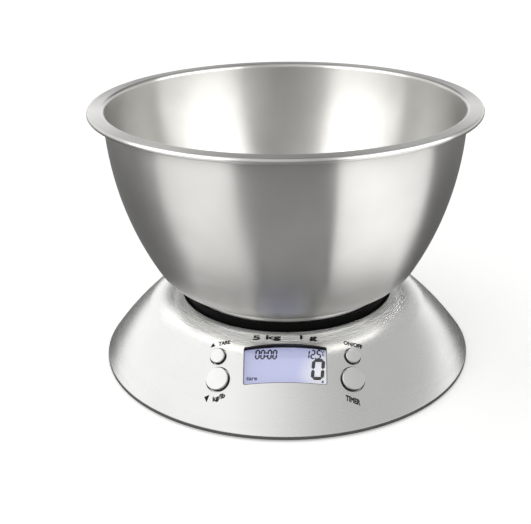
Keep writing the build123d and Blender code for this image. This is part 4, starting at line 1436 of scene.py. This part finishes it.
def thickened(mesh: bpy.types.Mesh, growth: float = 0.0) -> bpy.types.Mesh:
    """Closed shape, one unit thick, over a flat one.

    Args:
        mesh: flat shape in millimetres.
        growth: how far its rim moves outward.

    Returns:
        A new mesh from height 0 to 1.
    """
    count = len(mesh.vertices)
    lower = [tuple(face.vertices) for face in mesh.polygons]
    lower = [face if part.normal.z > 0 else face[::-1] for face, part in zip(lower, mesh.polygons)]
    upper = [tuple(spot + count for spot in face) for face in lower]
    ways = {(face[place - 1], face[place]) for face in lower for place in range(len(face))}
    rim = sorted(way for way in ways if way[::-1] not in ways)
    spots = [vertex.co.copy() for vertex in mesh.vertices]
    grow(spots, rim, growth)
    points = [(spot.x, spot.y, level) for level in (0.0, 1.0) for spot in spots]
    sides = [(start, end, end + count, start + count) for start, end in rim]
    solid = bpy.data.meshes.new("thickened")
    solid.from_pydata(points, [], [*upper, *(face[::-1] for face in lower), *sides])
    return solid


def sliced(mesh: bpy.types.Mesh, pitch: float) -> bpy.types.Mesh:
    """Cut a flat shape into small squares, so that it can bend with what it lies on.

    Args:
        mesh: flat shape in millimetres.
        pitch: side of a square.

    Returns:
        The same mesh.
    """
    with edited(mesh) as work:
        for axis in (Vector((1, 0, 0)), Vector((0, 1, 0))):
            reach = [vertex.co.dot(axis) for vertex in work.verts]
            cuts = int((max(reach) - min(reach)) / pitch)
            for cut in range(1, cuts + 1):
                whole = [*work.verts, *work.edges, *work.faces]
                level = axis * (min(reach) + cut * pitch)
                bmesh.ops.bisect_plane(work, geom=whole, plane_co=level, plane_no=axis)
        cleaned(work)
    return mesh


def laid(mesh: bpy.types.Mesh, rule: Callable[[float, float, float], Vector]) -> bpy.types.Mesh:
    """Move every point of a mesh by a rule.

    Args:
        mesh: flat shape in millimetres, one unit thick.
        rule: gives the place in millimetres for a flat place and a share of the thickness.

    Returns:
        The same mesh, in metres.
    """
    for vertex in mesh.vertices:
        vertex.co = rule(*vertex.co) * MM
    return mesh


@dataclass(frozen=True)
class Lettering:
    """Ink on the cover, printed straight down on it."""

    dome: Dome = Dome()
    sunk: float = 0.01
    proud: float = 0.035
    slice: float = 0.8
    signs: tuple[Sign, ...] = (
        Sign("TARE", -32.3, -68.9, 6.4, 2.35),
        Sign("kg/lb", -34.2, -91.3, 6.6, 2.35),
        Sign("ON/OFF", 35.75, -69.1, 10.0, 2.35),
        Sign("TIMER", 35.0, -91.9, 7.6, 2.0),
        Sign("5 kg", -9.8, -67.9, 15.0, 5.0, 0.045),
        Sign("1 g", 12.2, -67.9, 9.0, 5.0, 0.045),
    )
    up_mark: tuple[Point, ...] = ((-39.7, -69.6), (-37.1, -69.6), (-38.4, -67.4))
    down_mark: tuple[Point, ...] = ((-39.3, -88.9), (-42.1, -88.9), (-40.7, -91.2))

    def on_cover(self, x: float, y: float, share: float) -> Vector:
        """Place of a printed point on the cover.

        Args:
            x: place across, in millimetres.
            y: place in depth, in millimetres.
            share: 0 at the ink's lower side and 1 at its upper side.

        Returns:
            The place in millimetres.
        """
        lift = share * (self.proud + self.sunk) - self.sunk
        radius = hypot(x, y)
        return Vector((x, y, self.dome.height(radius))) + self.dome.normal(x, y) * lift

    def build(self, finishes: Finishes) -> None:
        """Print all signs and the two marks.

        Args:
            finishes: the finishes to choose from.
        """
        flats = [(word_mesh(sign), sign.growth) for sign in self.signs]
        flats += [(flat_mesh(mark), 0.0) for mark in (self.up_mark, self.down_mark)]
        solids = [thickened(sliced(flat, self.slice), growth) for flat, growth in flats]
        mesh = joined([laid(solid, self.on_cover) for solid in solids])
        coat(mesh, finishes["black_ink"])
        dress(new_object("cover_lettering", mesh), Body.BASE.value)


@dataclass(frozen=True)
class Digits:
    """A row of seven-stroke digits: its lower left corner, the size of a digit and its strokes."""

    figures: str
    left: float
    low: float
    width: float
    height: float
    stroke: float
    pitch: float
    dot_step: float = 0.0


class Stroke(Enum):
    """Strokes of a digit: middle in shares of its width and height, and whether it lies across."""

    TOP = (0.5, 1.0, True)
    UPPER_LEFT = (0.0, 0.75, False)
    UPPER_RIGHT = (1.0, 0.75, False)
    MIDDLE = (0.5, 0.5, True)
    LOWER_LEFT = (0.0, 0.25, False)
    LOWER_RIGHT = (1.0, 0.25, False)
    BOTTOM = (0.5, 0.0, True)


# Strokes that are lit in a figure, by their place in Stroke.
LIT = {
    "0": (0, 1, 2, 4, 5, 6),
    "1": (2, 5),
    "2": (0, 2, 3, 4, 6),
    "5": (0, 1, 3, 5, 6),
    "C": (0, 1, 4, 6),
}


@dataclass(frozen=True)
class Display:
    """What the display shows: strokes and small signs that lie on the glass."""

    window: Window = Window()
    lean: float = tan(radians(5.0))
    gap: float = 0.05
    sunk: float = 0.01
    proud: float = 0.05
    rows: tuple[Digits, ...] = (
        Digits("00:00", -16.3, 5.8, 1.75, 4.7, 0.85, 2.75, 0.9),
        Digits("12.5", 10.05, 5.9, 1.75, 4.5, 0.8, 2.95, 0.1),
        Digits("C", 18.9, 7.6, 1.0, 2.2, 0.55, 1.0),
        Digits("0", 14.6, -5.3, 5.1, 10.1, 1.85, 6.0),
    )
    signs: tuple[Sign, ...] = (
        Sign("tare", -17.0, -5.4, 5.8, 2.0),
        Sign("g", 20.1, -7.2, 1.2, 1.5),
    )
    degree: Corner = (18.1, 10.0, 0.4)
    degree_steps: int = 12
    colon_levels: Point = (0.3, 0.7)
    dot_share: float = 0.6
    dot_steps: int = 8

    def bar(self, x: float, y: float, length: float, stroke: float, across: bool) -> list[Point]:
        """Outline of one stroke with pointed ends.

        Args:
            x: middle of the stroke, to the right.
            y: middle of the stroke, upwards.
            length: length of the stroke with its gaps.
            stroke: width of the stroke.
            across: whether it lies across.

        Returns:
            Points of the outline.
        """
        half, wide = length / 2 - self.gap, stroke / 2
        lower = [(-half, 0), (wide - half, -wide), (half - wide, -wide)]
        upper = [(half, 0), (half - wide, wide), (wide - half, wide)]
        return [(x + a, y + b) if across else (x - b, y + a) for a, b in lower + upper]

    def strokes(self, row: Digits) -> list[list[Point]]:
        """Outlines of all strokes and dots of a row.

        Args:
            row: the row.

        Returns:
            One outline for each stroke or dot.
        """
        outlines: list[list[Point]] = []
        left = row.left
        for figure in row.figures:
            if figure in LIT:
                for place in LIT[figure]:
                    x, y, across = list(Stroke)[place].value
                    length = row.width if across else row.height / 2
                    spot = (left + x * row.width, row.low + y * row.height)
                    outlines.append(self.bar(*spot, length, row.stroke, across))
                left += row.pitch
                continue
            dot = circle(self.dot_share * row.stroke, self.dot_steps)
            middle = left - (row.pitch - row.width - row.dot_step) / 2
            for level in self.colon_levels if figure == ":" else (0.0,):
                outlines.append([(middle + a, row.low + level * row.height + b) for a, b in dot])
            left += row.dot_step
        return outlines

    def on_glass(self, x: float, y: float, share: float) -> Vector:
        """Place of a drawn point on the glass, leaning a little, in millimetres."""
        lift = share * (self.proud + self.sunk) - self.sunk - self.window.glass_depth
        return self.window.place() @ Vector((x + y * self.lean, y, lift))

    def build(self, finishes: Finishes) -> None:
        """Draw the rows, the degree sign and the small signs.

        Args:
            finishes: the finishes to choose from.
        """
        flats = [flat_mesh(outline) for row in self.rows for outline in self.strokes(row)]
        x, y, radius = self.degree
        flats.append(flat_mesh([(x + a, y + b) for a, b in circle(radius, self.degree_steps)]))
        mesh = joined([laid(thickened(flat), self.on_glass) for flat in flats])
        coat(mesh, finishes["display_segment"])
        dress(new_object("display_figures", mesh), Body.BASE.value)
        solids = [thickened(word_mesh(sign), sign.growth) for sign in self.signs]
        small = joined([laid(solid, self.on_glass) for solid in solids])
        coat(small, finishes["display_sign"])
        dress(new_object("display_signs", small), Body.BASE.value)


@dataclass(frozen=True)
class ScrewGroup:
    """Screws of one kind: head up or down, their places and the node that they stand for."""

    name: str
    node: str
    body: Body
    places: list[Corner]
    radius: float
    length: float
    head_radius: float
    head_height: float
    head_up: bool


@dataclass(frozen=True)
class Fasteners:
    """Cross-head screws that show from below and under the bowl."""

    orbit: float = 88.0
    angles: tuple[float, ...] = (28, 152, 208, 332)
    seat: float = 5.0
    bolt_middle: float = 20.5
    bolt_pitch: float = 9.0
    lower_bolt_seat: float = 8.0
    upper_bolt_seat: float = 29.7
    chamfer: float = 0.35
    slot_width: float = 0.24
    slot_length: float = 0.62
    slot_depth: float = 0.55
    segments: int = 24
    sharp_angle: float = radians(35)

    def groups(self) -> tuple[ScrewGroup, ...]:
        """The three kinds of screws.

        Returns:
            The screws in the floor, and the bolts at the two ends of the weighing bar.
        """
        turns = [radians(angle) for angle in self.angles]
        around = [(self.orbit * cos(turn), self.orbit * sin(turn), self.seat) for turn in turns]
        shifts = (-self.bolt_pitch / 2, self.bolt_pitch / 2)
        lower = [(-self.bolt_middle + shift, 0.0, self.lower_bolt_seat) for shift in shifts]
        upper = [(self.bolt_middle + shift, 0.0, self.upper_bolt_seat) for shift in shifts]
        base, platform = Body.BASE, Body.PLATFORM
        return (
            ScrewGroup("floor_screws", "housing_screws", base, around, 1.5, 12.0, 2.8, 2.0, False),
            ScrewGroup("cell_bolts", "load_cell_screws", base, lower, 2.0, 12.0, 3.5, 2.6, False),
            ScrewGroup("platform_bolts", "platform_screws", platform, upper, 2.0, 13.0, 3.5, 2.6, True),
        )

    def pattern(self, group: ScrewGroup, lathe: Lathe, finish: bpy.types.Material) -> bpy.types.Object:
        """One screw with a cross recess, which stands on its seat at height 0.

        Args:
            group: the kind of screw.
            lathe: what turns it.
            finish: its material.

        Returns:
            The screw, to be set at its places.
        """
        head, top = group.head_radius, group.head_height
        line = [
            (0.0, top, 0.0),
            (head, top, self.chamfer),
            (head, 0.0, 0.0),
            (group.radius, 0.0, 0.0),
            (group.radius, -group.length, self.chamfer),
            (0.0, -group.length, 0.0),
        ]
        screw = lathe.turn(f"{group.name}_pattern", rounded(line, False), False, finish, self.segments)
        half, reach = self.slot_width * head, self.slot_length * head
        low = top - self.slot_depth * top
        right = [(half, -reach), (half, -half), (reach, -half), (reach, half), (half, half), (half, reach)]
        cross = [*right, *((-x, -y) for x, y in right)]
        mesh = cut_away(screw, [prism(cross, low, 2 * top, Matrix.Identity(4))])
        mesh.set_sharp_from_angle(angle=self.sharp_angle)
        if not group.head_up:
            mesh.transform(Matrix.Rotation(pi, 4, "X"))
        return screw

    def build(self, lathe: Lathe, finishes: Finishes) -> None:
        """Set every screw at its places with one tree.

        Args:
            lathe: what turns the screws.
            finishes: the finishes to choose from.
        """
        finish = finishes["zinc_plate"]
        tree = Tree("setting", {"Pattern": "NodeSocketObject", "Finish": "NodeSocketMaterial"})
        group, given = tree.group, tree.given
        pattern = add_node(group, "GeometryNodeObjectInfo", inputs={"Object": given["Pattern"]})
        points = add_node(group, "GeometryNodeMeshToPoints", inputs={"Mesh": given["Geometry"]})
        placed = add_node(
            group,
            "GeometryNodeInstanceOnPoints",
            inputs={"Points": points.outputs["Points"], "Instance": pattern.outputs["Geometry"]},
        )
        tree.end(placed.outputs["Instances"])
        for kind in self.groups():
            screw = self.pattern(kind, lathe, finish)
            mesh = bpy.data.meshes.new(kind.name)
            mesh.from_pydata([Vector(place) * MM for place in kind.places], [], [])
            piece = tree.run(kind.name, mesh, {"Pattern": screw, "Finish": finish})
            piece.data.set_sharp_from_angle(angle=self.sharp_angle)
            discard(screw)
            dress(piece, kind.body.value, [kind.node])


@dataclass(frozen=True)
class Carried:
    """CAD nodes that keep their own shape and get a finish."""

    finishes_by_node: dict[str, str] = field(
        default_factory=lambda: {
            "platform": "soft_touch_black",
            "platform_spacer": "machined_aluminium",
            "load_cell_spacer": "machined_aluminium",
            "upper_housing": "matt_black_liner",
            "lower_housing": "textured_black_abs",
            "battery_door": "textured_black_abs",
            "rubber_feet": "black_rubber",
            "lcd_window": "clear_acrylic",
            "lcd_glass": "lit_display",
            "lcd_frame": "white_moulding",
            "lcd_backlight": "light_guide",
            "backlight_led": "light_guide",
            "zebra_strips": "contact_rubber",
            "main_board": "solder_mask",
            "left_key_board": "solder_mask",
            "right_key_board": "solder_mask",
            "main_board_screws": "zinc_plate",
            "key_board_screws": "zinc_plate",
            "controller_chip": "component_black",
            "clock_crystal": "nickel_plate",
            "board_capacitors": "machined_aluminium",
            "temperature_sensor": "component_black",
            "buzzer": "component_black",
            "board_connectors": "white_moulding",
            "tact_switches": "component_black",
            "tare_plunger": "component_black",
            "unit_plunger": "component_black",
            "power_plunger": "component_black",
            "timer_plunger": "component_black",
            "batteries": "printed_sleeve",
            "battery_springs": "nickel_plate",
            "battery_contacts": "nickel_plate",
            "load_cell_cable": "grey_jacket",
            "left_key_cable": "grey_jacket",
            "right_key_cable": "grey_jacket",
            "battery_leads": "red_jacket",
        }
    )

    def build(self, finishes: Finishes) -> None:
        """Give every carried node its finish.

        Args:
            finishes: the finishes to choose from.
        """
        for node, name in self.finishes_by_node.items():
            coat(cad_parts[node].data, finishes[name])
            log.info("%s has %s", node, name)


@dataclass(frozen=True)
class WeighingBar:
    """The weighing bar and its gauges.

    The base holds one end, and the other goes down with the platform.
    """

    bend_reach: float = 11.0
    middle_height: float = 18.35

    def bend(self, name: str, node: str, finish: bpy.types.Material) -> None:
        """Copy a node, merge the copy's points and show the copy in place of the node.

        Args:
            name: name of the piece.
            node: the CAD node that it stands for.
            finish: the piece's material.
        """
        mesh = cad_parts[node].data.copy()
        tidy(mesh)
        mesh.normals_split_custom_set([Vector()] * len(mesh.loops))
        coat(mesh, finish)
        piece = new_object(name, mesh)
        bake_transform(piece)
        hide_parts(node)
        log.info("%s bends between %s and %s", name, Body.BASE.value, Body.PLATFORM.value)

    def build(self, finishes: Finishes) -> None:
        """Make the bar and its gauges."""
        self.bend("weighing_bar", "load_cell", finishes["machined_aluminium"])
        self.bend("bar_gauges", "strain_gauges", finishes["gauge_film"])


@dataclass(frozen=True)
class SoftBox:
    """One soft light: where it stands round the scale, its size and how brightly it glows.

    Angles are in degrees, and the distance and the size in metres.
    """

    name: str
    azimuth: float
    elevation: float
    distance: float
    width: float
    height: float
    glow: float


@dataclass(frozen=True)
class FloorCard:
    """One white card beside the scale and how brightly it glows.

    Its near and its far edge each have a radius in millimetres and two azimuths, 0 in front and 90 to
    the right.
    """

    name: str
    near: Corner
    far: Corner
    glow: float
    steps: int = 8
    low: float = 1.0
    high: float = 1.5

    def edge(self, side: Corner) -> list[Point]:
        """Points along one edge.

        Args:
            side: the edge's radius and its two azimuths.

        Returns:
            Points on the floor, in millimetres.
        """
        radius, start, end = side
        turns = [radians(angle) for angle in spread(start, end, self.steps)]
        return [(radius * sin(turn), -radius * cos(turn)) for turn in turns]

    def outline(self) -> list[Point]:
        """Outline of the card."""
        return [*self.edge(self.near), *reversed(self.edge(self.far))]


@dataclass(frozen=True)
class Fade:
    """A soft step in the room's light: the direction that drives it, its span and its two ends."""

    name: str
    way: str
    start: float
    end: float
    before: float = 0.0
    after: float = 1.0


@dataclass(frozen=True)
class Studio:
    """Floor, lights and the camera at the photograph's place.

    The room that the steel mirrors is brighter on the left than on the right, has a dark gap high at the
    back, and is dim in front under the level of the eye.
    """

    aim: Corner = (0.0, 0.0, 0.075)
    floor_radius: float = 6000.0
    floor_depth: float = 20.0
    floor_steps: int = 96
    floor_colour: str = "#F4F4F2"
    floor_mirrored: str = "#585858"
    floor_glow: float = 0.36
    floor_rough: float = 0.7
    floor_spread: float = 0.05
    floor_relief: float = 0.01
    floor_grain: float = 2.0
    mirror_middle: float = 1.5
    mirror_reach: float = 0.6
    room_front: float = 0.4
    room_low: float = 1.35
    fades: tuple[Fade, ...] = (
        Fade("upper", "X", -0.6, 0.6, 1.25, 0.62),
        Fade("lift", "Z", 0.12, 0.34),
        Fade("gap", "Z", 0.27, 0.42, 1.0, 0.05),
        Fade("wall", "aside", 0.25, 0.5),
        Fade("back", "Y", 0.0, 0.6),
        Fade("rise", "Z", -0.05, 0.3),
        Fade("deep", "Y", -0.3, 0.1),
    )
    boxes: tuple[SoftBox, ...] = (
        SoftBox("left_box", -62, 30, 1.1, 1.2, 0.7, 4.2),
        SoftBox("right_box", 68, 30, 1.1, 1.35, 0.7, 4.4),
    )
    back_box: SoftBox = SoftBox("back_box", 192, 48, 1.0, 1.4, 0.65, 0.5)
    cards: tuple[FloorCard, ...] = (
        FloorCard("left_card", (130, -58, -14), (700, -80, -30), 1.2),
        FloorCard("right_card", (130, 25, 78), (700, 30, 96), 1.6),
        FloorCard("front_card", (120, -10, 22), (300, -24, 25), 0.45),
    )
    camera_place: Corner = (7.486, -504.563, 272.555)
    camera_turn: float = 0.85
    camera_pitch: float = 23.549
    camera_roll: float = 0.4565
    focal_pixels: float = 933.0
    frame_width: int = 531
    axis_pixel: float = 286.66
    sensor: float = 36.0

    def spot(self, azimuth: float, elevation: float, distance: float) -> Vector:
        """Place round the scale: azimuth 0 is in front, 90 to the right."""
        a, e = radians(azimuth), radians(elevation)
        return Vector(self.aim) + distance * Vector((sin(a) * cos(e), -cos(a) * cos(e), sin(e)))

    def light(self, box: SoftBox, lit: bpy.types.Collection) -> bpy.types.Object:
        """Set up one soft box, aimed at the scale and unseen by the camera.

        Args:
            box: the soft box.
            lit: what it lights.

        Returns:
            The lamp.
        """
        lamp = bpy.data.lights.new(box.name, "AREA")
        lamp.shape, lamp.size, lamp.size_y = "RECTANGLE", box.width, box.height
        lamp.energy = box.glow * pi * box.width * box.height
        piece = new_object(box.name, lamp)
        piece.location = self.spot(box.azimuth, box.elevation, box.distance)
        toward = Vector(self.aim) - piece.location
        piece.rotation_euler = toward.to_track_quat("-Z", "Y").to_euler()
        piece.visible_camera = False
        piece.light_linking.receiver_collection = lit
        return piece

    def light_cover(self, cover: bpy.types.Object) -> None:
        """Set up the high soft box that keeps the cover's shoulder bright, and passes the bowl.

        Args:
            cover: what it lights.
        """
        lit = bpy.data.collections.new("lit_from_above")
        lit.objects.link(cover)
        lamp = self.light(self.back_box, lit)
        # The bowl stands between this box and the cover: without these two lines it would take the light.
        lamp.data.use_shadow = False
        lamp.data.cycles.use_multiple_importance_sampling = False

    def light_bowl(self, bowl: bpy.types.Object) -> None:
        """Set up the soft boxes and cards that draw the bands on the bowl.

        Args:
            bowl: what they light.
        """
        lit = bpy.data.collections.new("lit_by_boxes")
        lit.objects.link(bowl)
        for box in self.boxes:
            self.light(box, lit)
        for card in self.cards:
            self.card(card, lit)

    def camera(self) -> None:
        """Set the camera where the photograph was taken from."""
        lens = bpy.data.cameras.new("camera")
        lens.sensor_width = self.sensor
        lens.lens = self.focal_pixels / self.frame_width * self.sensor
        lens.shift_x = 0.5 - self.axis_pixel / self.frame_width
        piece = new_object("camera", lens)
        heading = Matrix.Rotation(radians(self.camera_turn), 4, "Z")
        pitch = Matrix.Rotation(QUARTER_TURN - radians(self.camera_pitch), 4, "X")
        roll = Matrix.Rotation(-radians(self.camera_roll), 4, "Z")
        piece.matrix_world = Matrix.Translation(Vector(self.camera_place) * MM) @ heading @ pitch @ roll
        bpy.context.scene.camera = piece

    def card(self, card: FloorCard, lit: bpy.types.Collection) -> None:
        """Lay one glowing card on the floor, which shows in the bowl and nowhere else.

        Args:
            card: the card.
            lit: what it shows in.
        """
        piece = new_object(card.name, prism(card.outline(), card.low, card.high, Matrix.Identity(4)))
        material = bpy.data.materials.new(card.name)
        material.use_nodes = True
        tree = material.node_tree
        tree.nodes.clear()
        glow = add_node(tree, "ShaderNodeEmission", inputs={"Color": WHITE, "Strength": card.glow})
        add_node(tree, "ShaderNodeOutputMaterial", inputs={"Surface": glow.outputs["Emission"]})
        piece.data.materials.append(material)
        piece.visible_camera = piece.visible_diffuse = piece.visible_shadow = False
        piece.light_linking.receiver_collection = lit

    def air(self) -> None:
        """White surroundings for the camera, and a soft room for the reflections."""
        world = bpy.data.worlds.new("studio")
        world.use_nodes = True
        tree = world.node_tree
        tree.nodes.clear()
        way = add_node(tree, "ShaderNodeTexCoord").outputs["Generated"]
        apart = add_node(tree, "ShaderNodeSeparateXYZ", inputs={"Vector": way})
        aside = add_node(tree, "ShaderNodeMath", {"operation": "ABSOLUTE"}, {0: apart.outputs["X"]})
        ways = {axis: apart.outputs[axis] for axis in "XYZ"} | {"aside": aside.outputs["Value"]}
        faded: dict[str, bpy.types.NodeSocket] = {}
        for fade in self.fades:
            faded[fade.name] = add_node(
                tree,
                "ShaderNodeMapRange",
                {"interpolation_type": "SMOOTHSTEP"},
                {
                    "Value": ways[fade.way],
                    "From Min": fade.start,
                    "From Max": fade.end,
                    "To Min": fade.before,
                    "To Max": fade.after,
                },
            ).outputs["Result"]
        clear = add_node(
            tree, "ShaderNodeMath", {"operation": "MAXIMUM"}, {0: faded["rise"], 1: faded["deep"]}
        ).outputs["Value"]
        side = add_node(
            tree,
            "ShaderNodeMix",
            {"data_type": "FLOAT"},
            {"Factor": faded["lift"], "A": self.room_low, "B": faded["upper"]},
        ).outputs["Result"]
        wall = add_node(
            tree,
            "ShaderNodeMix",
            {"data_type": "FLOAT"},
            {"Factor": faded["wall"], "A": faded["gap"], "B": 1.0},
        ).outputs["Result"]
        share = add_node(
            tree, "ShaderNodeMix", {"data_type": "FLOAT"}, {"Factor": faded["back"], "A": 1.0, "B": wall}
        ).outputs["Result"]
        high = add_node(tree, "ShaderNodeMath", {"operation": "MULTIPLY"}, {0: side, 1: share})
        strength = add_node(
            tree,
            "ShaderNodeMix",
            {"data_type": "FLOAT"},
            {"Factor": clear, "A": self.room_front, "B": high.outputs["Value"]},
        ).outputs["Result"]
        room = add_node(tree, "ShaderNodeBackground", inputs={"Color": WHITE, "Strength": strength})
        white = add_node(tree, "ShaderNodeBackground", inputs={"Color": WHITE})
        seen = add_node(tree, "ShaderNodeLightPath").outputs["Is Camera Ray"]
        mix = add_node(
            tree,
            "ShaderNodeMixShader",
            inputs={0: seen, 1: room.outputs["Background"], 2: white.outputs["Background"]},
        )
        add_node(tree, "ShaderNodeOutputWorld", inputs={"Surface": mix.outputs["Shader"]})
        bpy.context.scene.world = world

    def floor(self) -> None:
        """Lay a plain pale floor, which glows softly and is grey where the steel mirrors it."""
        outline = circle(self.floor_radius, self.floor_steps)
        piece = new_object("floor", prism(outline, -self.floor_depth, 0.0, Matrix.Identity(4)))
        finish = MouldedPlastic(
            "pale_floor",
            self.floor_mirrored,
            self.floor_rough,
            spread=self.floor_spread,
            relief=self.floor_relief,
            grain_mm=self.floor_grain,
        )
        material, tree, shader = finish.start()
        finish.grain(tree, shader, finish.object_noise(tree, finish.grain_mm))
        path = add_node(tree, "ShaderNodeLightPath")
        mirrored = add_node(
            tree,
            "ShaderNodeMath",
            {"operation": "COMPARE"},
            {0: path.outputs["Glossy Depth"], 1: self.mirror_middle, 2: self.mirror_reach},
        ).outputs["Value"]
        pale = add_node(
            tree, "ShaderNodeMath", {"operation": "SUBTRACT"}, {0: 1.0, 1: mirrored}
        ).outputs["Value"]
        finish.tint(tree, shader, pale, self.floor_colour)
        glow = add_node(tree, "ShaderNodeMath", {"operation": "MULTIPLY"}, {0: pale, 1: self.floor_glow})
        shader.inputs["Emission Color"].default_value = WHITE
        tree.links.new(glow.outputs["Value"], shader.inputs["Emission Strength"])
        piece.data.materials.append(material)

    def build(self) -> None:
        """Set up the whole studio."""
        self.camera()
        self.air()
        self.floor()
        bpy.context.scene.view_settings.view_transform = "Standard"


def main() -> None:
    """Dress the scale piece by piece."""
    logging.basicConfig(level=logging.INFO, format="%(name)s: %(message)s")
    studio = Studio()
    studio.build()
    finishes = Finishes()
    lathe = Lathe()
    bowl = Bowl().build(lathe, finishes)
    studio.light_bowl(bowl)
    cover = Cover().build(lathe, finishes)
    studio.light_cover(cover)
    ShadeTrim().build(finishes)
    Keys().build(lathe, finishes)
    Display().build(finishes)
    Lettering().build(finishes)
    Fasteners().build(lathe, finishes)
    Carried().build(finishes)
    WeighingBar().build(finishes)


if __name__ == "__main__":
    main()
